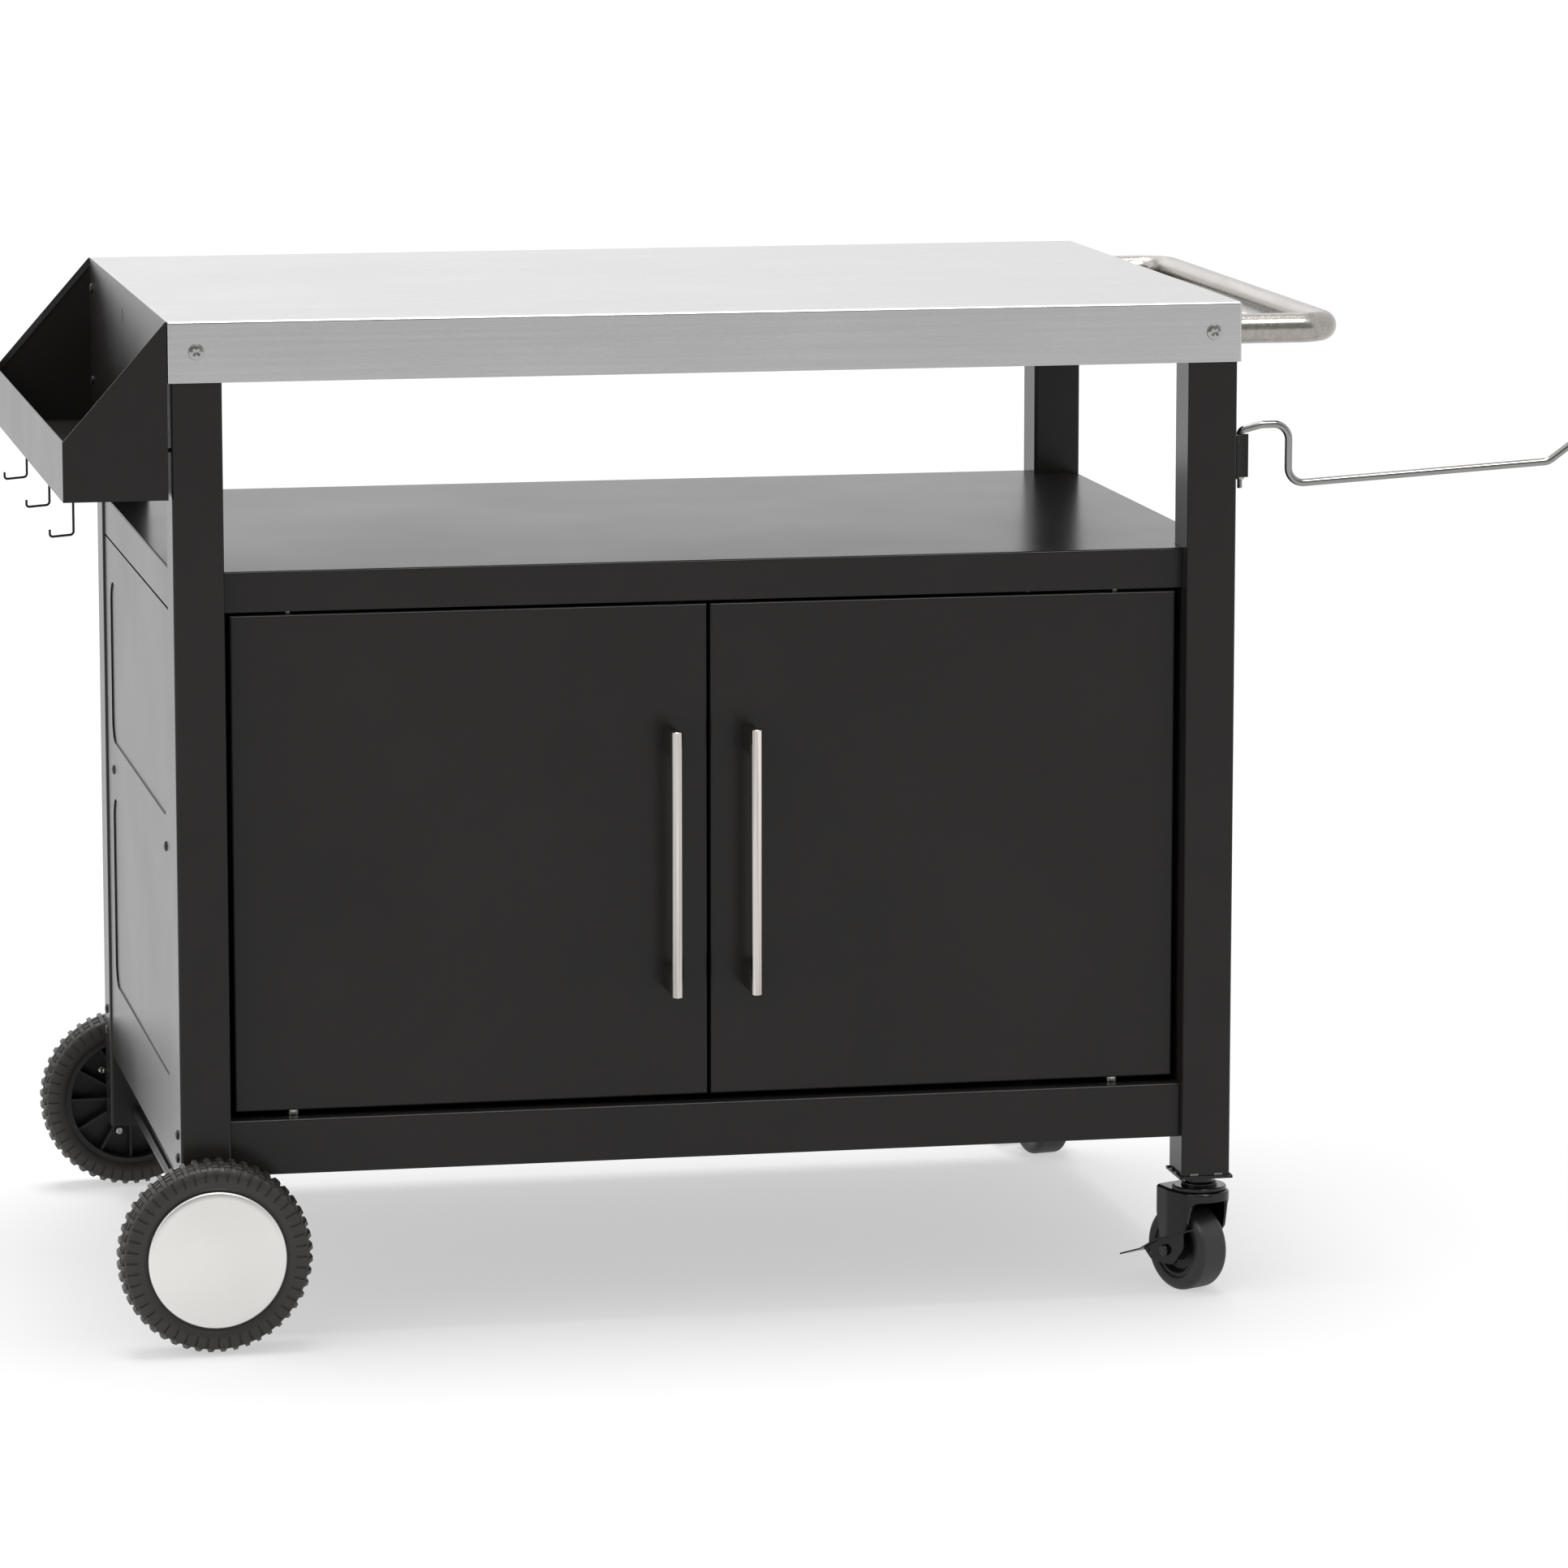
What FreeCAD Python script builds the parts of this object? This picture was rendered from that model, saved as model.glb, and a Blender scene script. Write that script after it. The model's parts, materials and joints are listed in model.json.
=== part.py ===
import FreeCAD, Part

import math
import os
import re

import Sketcher
from FreeCAD import Placement, Rotation, Vector

# Grill cart with storage. X runs along the cart to the right, Y to the back and Z up.
# The origin is on the floor, under the middle of the worktop. All lengths are in millimetres.

# Driving dimensions: alias, value, what it is
SIZES = (
    ("top_height", 910, "worktop above the floor"),
    ("top_length", 964, "worktop, left to right"),
    ("top_depth", 650, "worktop, front to back"),
    ("top_skirt", 54, "height of the folded edge of the worktop"),
    ("top_sheet", 1.2, "worktop sheet"),
    ("top_fold", 2.5, "outer radius of the worktop's folds"),
    ("sheet", 1, "black sheet of the pans, panels and doors"),
    ("fold", 2, "outer radius of the folds in the black sheet"),
    ("leg_width", 45, "leg tube along X"),
    ("leg_depth", 48, "leg tube along Y"),
    ("leg_wall", 1.5, "leg tube wall"),
    ("leg_corner", 3, "corner radius of the leg tube"),
    ("leg_side_inset", 3.2, "leg behind the end of the worktop"),
    ("leg_front_inset", 2, "leg behind the front of the worktop"),
    ("left_leg_bottom", 73, "lower end of the left legs"),
    ("right_leg_bottom", 112.5, "lower end of the right legs"),
    ("seam", 0.3, "gap where one sheet piece is pushed between others"),
    ("shelf_top", 687, "upper face of the shelf"),
    ("shelf_skirt", 36, "folded edge of the shelf"),
    ("shelf_setback", 19, "shelf and door face behind the front of the legs"),
    ("shelf_lip", 26, "width of the shelf's inward lip"),
    ("side_setback", 2, "shelf side and side panel behind the outside of the legs"),
    ("base_top", 197.5, "upper face of the base pan"),
    ("base_skirt", 49.5, "folded rail of the base pan"),
    ("base_setback", 10, "base rail behind the front of the legs"),
    ("panel_bottom", 143.5, "lower edge of the side panels"),
    ("panel_top_gap", 2, "gap between side panel and shelf"),
    ("panel_return", 12, "inward flange of the side panels"),
    ("emboss_depth", 1.5, "depth of the pressed fields"),
    ("emboss_corner", 22, "corner radius of the pressed fields"),
    ("emboss_front", 232, "half length of the pressed fields"),
    ("upper_field_low", 458, "lower edge of the upper field"),
    ("upper_field_high", 612, "upper edge of the upper field"),
    ("lower_field_low", 221, "lower edge of the lower field"),
    ("lower_field_high", 404, "upper edge of the lower field"),
    ("panel_screw_reach", 220, "panel screws from the middle of the panel"),
    ("panel_screw_height", 431, "panel screws above the floor"),
    ("door_side_gap", 6, "gap between door and leg"),
    ("door_top_gap", 3, "gap between door and shelf"),
    ("door_bottom_gap", 6, "gap between door and base pan"),
    ("door_middle_gap", 3, "gap between the two doors"),
    ("door_depth", 18, "depth of the folded door"),
    ("door_lip", 14, "back flange of the door"),
    ("pivot_inset", 53, "pivot from the outer edge of the door"),
    ("pivot_setback", 14, "pivot behind the door face"),
    ("pin_radius", 3, "door pivot pin"),
    ("bush_radius", 6.5, "bush and head of a pivot pin"),
    ("running", 0.1, "radial clearance of pins and axles"),
    ("handle_radius", 5.4, "door handle rod"),
    ("handle_length", 240, "door handle rod"),
    ("handle_middle", 419.5, "middle of the door handles above the floor"),
    ("handle_reach", 34.5, "handle rod from the free edge of its door"),
    ("handle_standoff", 38, "handle rod centre in front of the door"),
    ("post_spacing", 214, "distance between the two posts of a handle"),
    ("post_width", 11.5, "handle post along X"),
    ("post_height", 21.5, "handle post along Z"),
    ("catch_reach", 30, "magnet catches from the middle of the cart"),
    ("catch_width", 24, "magnet catch along X"),
    ("catch_height", 13, "magnet catch along Z"),
    ("catch_depth", 10.5, "magnet catch along Y"),
    ("striker_plate", 1, "thickness of the striker plate"),
    ("rest_gap", 0.3, "gap at parts that rest on each other"),
    ("tray_reach", 92, "side tray, outwards from the worktop"),
    ("tray_bottom", 754, "underside of the side tray"),
    ("tray_lip", 53.5, "height of the tray's outer lip"),
    ("tray_hem", 9, "folded hem along the slanted edge"),
    ("drain_radius", 5, "holes in the tray floor"),
    ("drain_reach", 220, "outer floor holes from the middle"),
    ("hook_wire", 1.1, "radius of the hook wire"),
    ("hook_spacing", 220, "distance between hooks"),
    ("hook_inset", 19, "hook wire from the tray lip"),
    ("hook_drop", 41, "hook below the tray floor"),
    ("hook_reach", 21, "length of the hook's foot"),
    ("hook_tip", 5, "height of the hook's tip"),
    ("hook_bend", 3.5, "bend radius of the hook wire"),
    ("push_radius", 13.5, "push handle tube"),
    ("push_wall", 1.5, "push handle tube wall"),
    ("push_reach", 87, "push handle centre line beyond the worktop"),
    ("push_bend", 28, "bend radius of the push handle"),
    ("rod_radius", 3.5, "swing rod"),
    ("rod_stud", 2.5, "threaded end of the swing rod"),
    ("rod_pin_reach", 9.0, "swing rod pin beyond the leg"),
    ("rod_height", 796.2, "top of the swing rod's hump"),
    ("rod_run_height", 741.8, "low corner of the swing rod"),
    ("rod_hump", 45.2, "hump of the swing rod, along X"),
    ("rod_run", 244, "long run of the swing rod, along X"),
    ("rod_rise", 14.8, "rise of the long run"),
    ("rod_tip", 36, "upturned end, along X"),
    ("rod_tip_rise", 26, "upturned end, along Z"),
    ("rod_bend", 14, "bend radius of the swing rod"),
    ("bracket_low", 750, "underside of the swing rod bracket"),
    ("bracket_high", 789, "top of the swing rod bracket"),
    ("bracket_reach", 14.2, "bracket beyond the leg"),
    ("bracket_depth", 34, "bracket along Y"),
    ("bracket_front", 10, "bracket's front cheek before the rod's middle"),
    ("bracket_lap", 12, "bracket's screwed flange before the front cheek"),
    ("bracket_plate", 2, "bracket sheet"),
    ("wheel_radius", 86.5, "large wheel over its tread blocks"),
    ("wheel_width", 44, "large wheel"),
    ("wheel_gap", 8, "large wheel from the leg"),
    ("tread_height", 2.6, "height of the tread blocks"),
    ("tread_count", 24, "tread blocks in a row"),
    ("tread_block", 6.8, "width of a tread block"),
    ("rim_radius", 62, "outer radius of the rim"),
    ("rim_wall", 4, "wall of the rim barrel"),
    ("rim_web", 3, "web of the rim"),
    ("rim_hub", 14, "radius of the rim's hub"),
    ("rim_ribs", 12, "ribs of the rim"),
    ("rib_width", 2.6, "rim rib"),
    ("cap_sheet", 1, "hub cap sheet"),
    ("cap_dome", 1.5, "dome of the hub cap"),
    ("cap_screw_reach", 36, "hub cap screws from the axle"),
    ("axle_radius", 5, "wheel axle"),
    ("axle_inboard", 2.7, "axle inboard of the middle of the left legs"),
    ("nut_flats", 16, "axle nut across flats"),
    ("nut_height", 6, "axle nut"),
    ("plate_thickness", 2.5, "plate under the right legs"),
    ("plate_overhang", 2.4, "plate beyond the leg"),
    ("caster_radius", 39, "caster wheel"),
    ("caster_width", 33, "caster wheel"),
    ("caster_core", 27, "radius of the caster wheel's core"),
    ("caster_trail", 15.5, "caster wheel behind the swivel axis"),
    ("fork_top", 96, "top of the caster fork"),
    ("fork_half", 24.5, "half width of the caster fork"),
    ("fork_rear", 39, "fork behind its swivel axis"),
    ("fork_front", 27.5, "fork ahead of its swivel axis"),
    ("fork_sheet", 2.3, "fork sheet"),
    ("race_radius", 24.8, "swivel race"),
    ("race_height", 3.7, "swivel race"),
    ("stem_radius", 13, "caster stem under the leg"),
    ("bolt_radius", 3.2, "caster axle bolt"),
    ("bolt_head", 5.2, "round head of the caster bolt"),
    ("pedal_sheet", 1.6, "brake lever sheet"),
    ("pedal_flange", 5, "width of the brake lever's side strips"),
    ("front_caster_turn", -63.5, "front caster at rest, degrees"),
    ("back_caster_turn", -80, "back caster at rest, degrees"),
    ("screw_head", 7.2, "worktop screw head radius"),
    ("screw_shank", 3, "shank radius of the larger screws"),
    ("small_head", 4.6, "small screw head radius"),
    ("small_shank", 2, "shank radius of the small screws"),
    ("shank_gap", 0.2, "screw shank in its hole"),
)
ALIASES = {alias for alias, number, note in SIZES}

# Places worked out from the driving dimensions
LEG_OUT = "(top_length / 2 - leg_side_inset)"
LEG_IN = "(top_length / 2 - leg_side_inset - leg_width)"
LEG_FRONT = "(top_depth / 2 - leg_front_inset)"
LEG_BACK = "(top_depth / 2 - leg_front_inset - leg_depth)"
LEG_X = "(top_length / 2 - leg_side_inset - leg_width / 2)"
LEG_Y = "(top_depth / 2 - leg_front_inset - leg_depth / 2)"
TOP_UNDER = "(top_height - top_sheet)"
SKIRT_MIDDLE = "(top_height - top_skirt / 2)"
FACE = "(top_depth / 2 - leg_front_inset - shelf_setback)"
SHELF_LOW = "(shelf_top - shelf_skirt)"
SIDE = "(top_length / 2 - leg_side_inset - side_setback)"
DOOR_OUT = "(top_length / 2 - leg_side_inset - leg_width - door_side_gap)"
DOOR_IN = "(door_middle_gap / 2)"
DOOR_LOW = "(base_top + door_bottom_gap)"
DOOR_HIGH = "(shelf_top - shelf_skirt - door_top_gap)"
PIVOT_X = "(top_length / 2 - leg_side_inset - leg_width - door_side_gap - pivot_inset)"
PIVOT_Y = "(top_depth / 2 - leg_front_inset - shelf_setback - pivot_setback)"
DOOR_BACK = "(top_depth / 2 - leg_front_inset - shelf_setback - door_depth)"
HANDLE_X = "(door_middle_gap / 2 + handle_reach)"
TRAY_OUT = "(top_length / 2 + tray_reach)"
HOOK_X = "(top_length / 2 + tray_reach - hook_inset)"
ROD_X = "(top_length / 2 - leg_side_inset + rod_pin_reach)"
AXLE_X = "(top_length / 2 - leg_side_inset - leg_width / 2 - axle_inboard)"
WHEEL_Y = "(top_depth / 2 - leg_front_inset + wheel_gap + wheel_width / 2)"
AXLE_END = "(top_depth / 2 - leg_front_inset + wheel_gap + wheel_width / 2 + 14.5)"

# Heights of the screws, and sizes that two pieces share
LEG_SCREWS = ("base_top - 34", "base_top - 13")
TRAY_SCREWS = (SKIRT_MIDDLE, "top_height - 115")
BRACKET_SCREWS = ("bracket_low + 11", "bracket_high - 4.5")
BRACKET_SCREW_Y = "-(" + LEG_Y + " + bracket_front + bracket_lap / 2)"
EAR_TOP = "(rod_height - 9.2)"
KINGPIN = "(stem_radius / 2)"

LIMITS = {"X": ("XMin", "XMax"), "Y": ("YMin", "YMax"), "Z": ("ZMin", "ZMax")}
PLANES = {"X": "YZ_Plane", "Y": "XZ_Plane", "Z": "XY_Plane"}
CLOSE = 1e-4


def bound(text):
    """Expression text with every alias pointing to the sheet."""
    return re.sub(r"[a-z_]+", lambda word: "Sizes." + word[0] if word[0] in ALIASES else word[0], str(text))


def value(text):
    return float(sheet.evalExpression(bound(text)))


def minus(text):
    return "-(" + str(text) + ")"


def make_sheet():
    table = doc.addObject("Spreadsheet::Sheet", "Sizes")
    for row, (alias, number, note) in enumerate(SIZES, 1):
        table.set("A%d" % row, alias)
        table.set("B%d" % row, str(number))
        table.set("C%d" % row, note)
        table.setAlias("B%d" % row, alias)
    return table


def new_body(name):
    body = doc.addObject("PartDesign::Body", name)
    body.Label = name
    bodies.append(body)
    return body


def place(body, x=0, y=0, z=0, turn=None):
    """Moves a body to a place, turned about its own Z axis."""
    if turn is not None:
        body.Placement = Placement(Vector(), Rotation(Vector(0, 0, 1), 1))
        body.setExpression("Placement.Rotation.Angle", bound(turn))
    for axis, text in zip("xyz", (x, y, z)):
        body.setExpression("Placement.Base." + axis, bound(text))


def new_sketch(body, axis, start):
    """A sketch square to a world axis, at a place along that axis."""
    sketch = body.newObject("Sketcher::SketchObject", "Sketch")
    origin = [item for item in body.Origin.OriginFeatures if item.Role == PLANES[axis]]
    sketch.AttachmentSupport = [(origin[0], "")]
    sketch.MapMode = "FlatFace"
    sketch.setExpression("AttachmentOffset.Base.z", bound(minus(start) if axis == "Y" else start))
    return sketch


def fix(sketch, kind, geometry, point, text):
    number = sketch.addConstraint(Sketcher.Constraint(kind, geometry, point, value(text)))
    sketch.setExpression("Constraints[%d]" % number, bound(text))


def fix_radius(sketch, geometry, text):
    number = sketch.addConstraint(Sketcher.Constraint("Radius", geometry, value(text)))
    sketch.setExpression("Constraints[%d]" % number, bound(text))


def circle(sketch, u, v, radius):
    round_edge = Part.Circle(Vector(value(u), value(v), 0), Vector(0, 0, 1), value(radius))
    geometry = sketch.addGeometry(round_edge)
    fix(sketch, "DistanceX", geometry, 3, u)
    fix(sketch, "DistanceY", geometry, 3, v)
    fix_radius(sketch, geometry, radius)


def corner_arc(before, corner, after, radius):
    """The counterclockwise arc that rounds a corner, its two tangent points and the end it starts from."""
    back = (before - corner).normalize()
    ahead = (after - corner).normalize()
    half = back.getAngle(ahead) / 2
    reach = radius / math.tan(half)
    centre = corner + (back + ahead).normalize() * (radius / math.sin(half))
    first = corner + back * reach
    last = corner + ahead * reach
    left_turn = back.cross(ahead).z < 0
    low, high = (first, last) if left_turn else (last, first)
    angles = [math.atan2(point.y - centre.y, point.x - centre.x) for point in (low, high)]
    arc = Part.ArcOfCircle(Part.Circle(centre, Vector(0, 0, 1), radius), *angles)
    return arc, first, last, left_turn


def trace(sketch, corners, closed=True):
    """Straight runs through corners given as (u, v) or (u, v, radius), round where a radius is given."""
    points = [Vector(value(item[0]), value(item[1]), 0) for item in corners]
    count = len(points)
    starts, ends, arcs = list(points), list(points), {}
    for index, item in enumerate(corners):
        if len(item) == 3:
            neighbours = points[index - 1], points[(index + 1) % count]
            arc, first, last, left_turn = corner_arc(neighbours[0], points[index], neighbours[1], value(item[2]))
            arcs[index] = sketch.addGeometry(arc), left_turn
            ends[index], starts[index] = first, last
    marks = {}
    for index in arcs:
        marks[index] = sketch.addGeometry(Part.Point(points[index]), True)
        fix(sketch, "DistanceX", marks[index], 1, corners[index][0])
        fix(sketch, "DistanceY", marks[index], 1, corners[index][1])
    runs = []
    for index in range(count if closed else count - 1):
        runs.append(sketch.addGeometry(Part.LineSegment(starts[index], ends[(index + 1) % count])))
    for index, run in enumerate(runs):
        for place_on, point in ((index, 1), ((index + 1) % count, 2)):
            if place_on in arcs:
                sketch.addConstraint(Sketcher.Constraint("PointOnObject", marks[place_on], 1, run))
                arc, left_turn = arcs[place_on]
                arc_point = 1 if left_turn == (point == 2) else 2
                sketch.addConstraint(Sketcher.Constraint("Tangent", run, point, arc, arc_point))
            elif point == 1 and (closed or index == 0):
                fix(sketch, "DistanceX", run, 1, corners[place_on][0])
                fix(sketch, "DistanceY", run, 1, corners[place_on][1])
                if closed or index > 0:
                    sketch.addConstraint(Sketcher.Constraint("Coincident", runs[index - 1], 2, run, 1))
            elif point == 1:
                sketch.addConstraint(Sketcher.Constraint("Coincident", runs[index - 1], 2, run, 1))
            elif not closed:
                fix(sketch, "DistanceX", run, 2, corners[place_on][0])
                fix(sketch, "DistanceY", run, 2, corners[place_on][1])
    for index, (arc, left_turn) in arcs.items():
        fix_radius(sketch, arc, corners[index][2])


def box_outline(u_low, v_low, u_high, v_high, radius=None):
    corners = ((u_low, v_low), (u_high, v_low), (u_high, v_high), (u_low, v_high))
    if radius is None:
        return corners
    return tuple(corner + (radius,) for corner in corners)


def draw(sketch, shapes):
    """A shape is an outline of corners, or a circle given as three texts."""
    for shape in shapes:
        if isinstance(shape[0], (tuple, list)):
            trace(sketch, shape)
        else:
            circle(sketch, *shape)


def extrude(body, axis, start, stop, *shapes, cut=False):
    """A pad from start to stop along an axis, or a pocket over that stretch."""
    sketch = new_sketch(body, axis, start)
    draw(sketch, shapes)
    feature = body.newObject("PartDesign::Pocket" if cut else "PartDesign::Pad", "Cut" if cut else "Pad")
    feature.Profile = sketch
    feature.setExpression("Length", bound("(" + str(stop) + ") - (" + str(start) + ")"))
    feature.Reversed = (axis == "Y") != cut
    doc.recompute()
    return feature


def cut(body, axis, start, stop, *shapes):
    return extrude(body, axis, start, stop, *shapes, cut=True)


def revolve(body, shapes, groove=False):
    """Turns outlines given as (y, radius) about the body's own Y axis."""
    sketch = new_sketch(body, "X", 0)
    draw(sketch, shapes)
    feature = body.newObject("PartDesign::Groove" if groove else "PartDesign::Revolution", "Turned")
    feature.Profile = sketch
    feature.ReferenceAxis = (sketch, ["H_Axis"])
    feature.Angle = 360
    doc.recompute()
    return feature


def polar(body, feature, axis_role, count):
    pattern = body.newObject("PartDesign::PolarPattern", "Pattern")
    pattern.Originals = [feature]
    pattern.Axis = ([item for item in body.Origin.OriginFeatures if item.Role == axis_role][0], [""])
    pattern.Angle = 360
    pattern.setExpression("Occurrences", bound(count))
    body.Tip = pattern
    doc.recompute()
    return pattern


def round_edges(body, radius, test, chamfer=False):
    """Rounds or chamfers the edges of the tip that pass a test."""
    tip = body.Tip
    names = ["Edge%d" % (n + 1) for n, edge in enumerate(tip.Shape.Edges) if test(edge)]
    if not names:
        raise ValueError("no edge to round on " + body.Label)
    kind = "PartDesign::Chamfer" if chamfer else "PartDesign::Fillet"
    feature = body.newObject(kind, "Rounded")
    feature.Base = (tip, names)
    feature.setExpression("Size" if chamfer else "Radius", bound(radius))
    doc.recompute()
    return feature


def lies(edge, **places):
    """Whether an edge lies wholly at the given places, such as Z='top_height'."""
    box = edge.BoundBox
    for axis, text in places.items():
        low, high = (getattr(box, name) for name in LIMITS[axis])
        if abs(low - value(text)) > CLOSE or abs(high - value(text)) > CLOSE:
            return False
    return True


def either(edge, axis, text):
    """Whether an edge lies at plus or minus a place along an axis."""
    return lies(edge, **{axis: text}) or lies(edge, **{axis: minus(text)})


def bent_rod(body, axis, start, corners, radius, bore=None):
    """A round rod or tube along a bent path that lies square to an axis."""
    path = new_sketch(body, axis, start)
    trace(path, corners, closed=False)
    first, second = ([value(text) for text in corner[:2]] for corner in corners[:2])
    along = "XZ".index("Z" if abs(first[0] - second[0]) < CLOSE else "X")
    ends = {"X": "YZ", "Y": "XZ", "Z": "XY"}[axis]
    across_axis = ends[1] if along else ends[0]
    across = new_sketch(body, across_axis, corners[0][1] if along else corners[0][0])
    other = corners[0][0] if along else corners[0][1]
    order = {("Y", "Z"): (other, start), ("Z", "X"): (other, start)}
    u, v = order.get((axis, across_axis), (start, other))
    circle(across, u, v, radius)
    if bore:
        circle(across, u, v, bore)
    pipe = body.newObject("PartDesign::AdditivePipe", "Bent")
    pipe.Profile = across
    pipe.Spine = path
    doc.recompute()
    return pipe


def screw(body, axis, head, tip, u, v, head_radius, head_height, shank_radius):
    """A pan-head screw along an axis: its head starts at head, its shank ends at tip."""
    outwards = value(head) > value(tip)
    crown = "(%s) %s (%s)" % (head, "+" if outwards else "-", head_height)
    low, high = (head, crown) if outwards else (crown, head)
    extrude(body, axis, low, high, (u, v, head_radius))
    low, high = (tip, head) if outwards else (head, tip)
    extrude(body, axis, low, high, (u, v, shank_radius))


def cross_outline(side, inner_x, front, inner_y):
    """Plan of a pan that is notched round the four legs."""
    quarter = ((side, inner_y), (inner_x, inner_y), (inner_x, front))
    right = [(x, minus(y)) for x, y in reversed(quarter)] + list(quarter)
    left = [(minus(x), y) for x, y in reversed(right)]
    return tuple(right + left)


# Worktop: stainless pan, folded down on all four sides
def make_worktop():
    body = new_body("worktop")
    half_x, half_y = "(top_length / 2)", "(top_depth / 2)"
    low = "top_height - top_skirt"
    extrude(body, "Z", low, "top_height", box_outline(minus(half_x), minus(half_y), half_x, half_y))
    round_edges(body, "top_fold", lambda edge: not lies(edge, Z=low))
    inner_x, inner_y = "(top_length / 2 - top_sheet)", "(top_depth / 2 - top_sheet)"
    cut(body, "Z", low, TOP_UNDER, box_outline(minus(inner_x), minus(inner_y), inner_x, inner_y))
    hole = "screw_shank + shank_gap"
    for face in ("-top_depth / 2 - 1", "top_depth / 2 - top_sheet - 1"):
        holes = [(sign + LEG_X, SKIRT_MIDDLE, hole) for sign in ("-", "")]
        cut(body, "Y", face, "(" + face + ") + 2 + top_sheet", *holes)
    for sign in ("-", ""):
        holes = [(side + LEG_Y, SKIRT_MIDDLE, hole) for side in ("-", "")]
        start = sign + "(top_length / 2) - 2"
        cut(body, "X", start, "(" + start + ") + 4", *holes)


# Worktop screws: through the skirt into the legs
def make_worktop_screws():
    body = new_body("worktop_screws")
    for x in ("-" + LEG_X, LEG_X):
        for sign in ("-", ""):
            screw(body, "Y", sign + "(top_depth / 2)", sign + "(" + LEG_FRONT + " - leg_wall - 5)",
                  x, SKIRT_MIDDLE, "screw_head", 2.8, "screw_shank")
    heads = (3.4, "top_depth / 2 + 2.8")
    round_edges(body, 1.6, lambda edge: either(edge, "Y", heads[1]))


# Legs: rectangular tubes; the left pair carries the axle
def make_leg(name, right, back):
    body = new_body(name)
    x_low = LEG_IN if right else minus(LEG_OUT)
    x_high = LEG_OUT if right else minus(LEG_IN)
    y_low = LEG_BACK if back else minus(LEG_FRONT)
    y_high = LEG_FRONT if back else minus(LEG_BACK)
    low = "right_leg_bottom" if right else "left_leg_bottom"
    extrude(body, "Z", low, TOP_UNDER, box_outline(x_low, y_low, x_high, y_high, "leg_corner"))
    inner = box_outline(x_low + " + leg_wall", y_low + " + leg_wall",
                        x_high + " - leg_wall", y_high + " - leg_wall", "leg_corner - leg_wall")
    cut(body, "Z", low, TOP_UNDER, inner)
    x = LEG_X if right else minus(LEG_X)
    y = LEG_Y if back else minus(LEG_Y)
    outer_face = y_high + " - leg_wall - 1" if back else y_low + " - 1"
    cut(body, "Y", outer_face, outer_face + " + leg_wall + 2", (x, SKIRT_MIDDLE, "screw_shank + shank_gap"))
    side_face = LEG_OUT + " - leg_wall - 1" if right else minus(LEG_OUT) + " - 1"
    side_end = side_face + " + leg_wall + 2"
    if right:
        cut(body, "X", side_face, side_end, (y, SKIRT_MIDDLE, "screw_shank + shank_gap"))
        if not back:
            holes = [(BRACKET_SCREW_Y, height, "small_shank + shank_gap") for height in BRACKET_SCREWS]
            cut(body, "X", side_face, side_end, *holes)
    else:
        axle = (minus(AXLE_X), "wheel_radius", "axle_radius + running")
        cut(body, "Y", y_low + " - 1", y_high + " + 1", axle)
        holes = [(y, height, "small_shank + shank_gap") for height in LEG_SCREWS + TRAY_SCREWS]
        cut(body, "X", side_face, side_end, *holes)


# Plates welded under the right legs, with short weld beads along their edges
def make_caster_plates():
    body = new_body("caster_plates")
    low, high = "right_leg_bottom - plate_thickness", "right_leg_bottom"
    x_low, x_high = LEG_IN + " - plate_overhang", LEG_OUT + " + plate_overhang"
    for back in (False, True):
        y_low = LEG_BACK if back else minus(LEG_FRONT)
        y_high = LEG_FRONT if back else minus(LEG_BACK)
        outline = box_outline(x_low, y_low + " - plate_overhang", x_high, y_high + " + plate_overhang", 1.2)
        extrude(body, "Z", low, high, outline)
        for sign, face in (("-", y_low), ("+", y_high)):
            bead = weld_bead(face, sign)
            for middle in (LEG_X + " - leg_width / 4", LEG_X + " + leg_width / 4"):
                extrude(body, "X", middle + " - 4", middle + " + 4", bead)
        for sign, face in (("-", LEG_IN), ("+", LEG_OUT)):
            bead = weld_bead(face, sign)
            for middle in (y_low + " + leg_depth / 3", y_high + " - leg_depth / 3"):
                extrude(body, "Y", middle + " - 4", middle + " + 4", bead)


def weld_bead(face, sign):
    """Section of a bead that lies on the plate, against one face of the leg."""
    out = face + " " + sign + " "
    top = "right_leg_bottom"
    return ((face, top), (out + "2.2", top), (out + "2.1", top + " + 1", 0.5),
            (out + "1", top + " + 2.4", 0.5), (face, top + " + 2.8"))


# Shelf: black pan notched round the legs, with a lip under its front and back edges
def make_shelf():
    body = new_body("shelf")
    inner_x, inner_y = "(" + LEG_IN + " - seam)", "(" + LEG_BACK + " - seam)"
    extrude(body, "Z", SHELF_LOW, "shelf_top", cross_outline(SIDE, inner_x, FACE, inner_y))
    round_edges(body, "fold", lambda edge: lies(edge, Z="shelf_top") and (
        either(edge, "Y", FACE) or either(edge, "X", SIDE)))
    inside = cross_outline(SIDE + " - sheet", inner_x + " - sheet", FACE + " - sheet", inner_y + " - sheet")
    cut(body, "Z", SHELF_LOW, "shelf_top - sheet", inside)
    for sign in ("-", ""):
        low, high = FACE + " - shelf_lip", FACE + " - sheet"
        if sign:
            low, high = minus(high), minus(low)
        lip = box_outline(minus(inner_x), low, inner_x, high)
        extrude(body, "Z", SHELF_LOW, SHELF_LOW + " + sheet", lip)
    pins = [(sign + PIVOT_X, minus(PIVOT_Y), "pin_radius + running") for sign in ("-", "")]
    cut(body, "Z", SHELF_LOW + " - 1", SHELF_LOW + " + 2", *pins)


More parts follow.
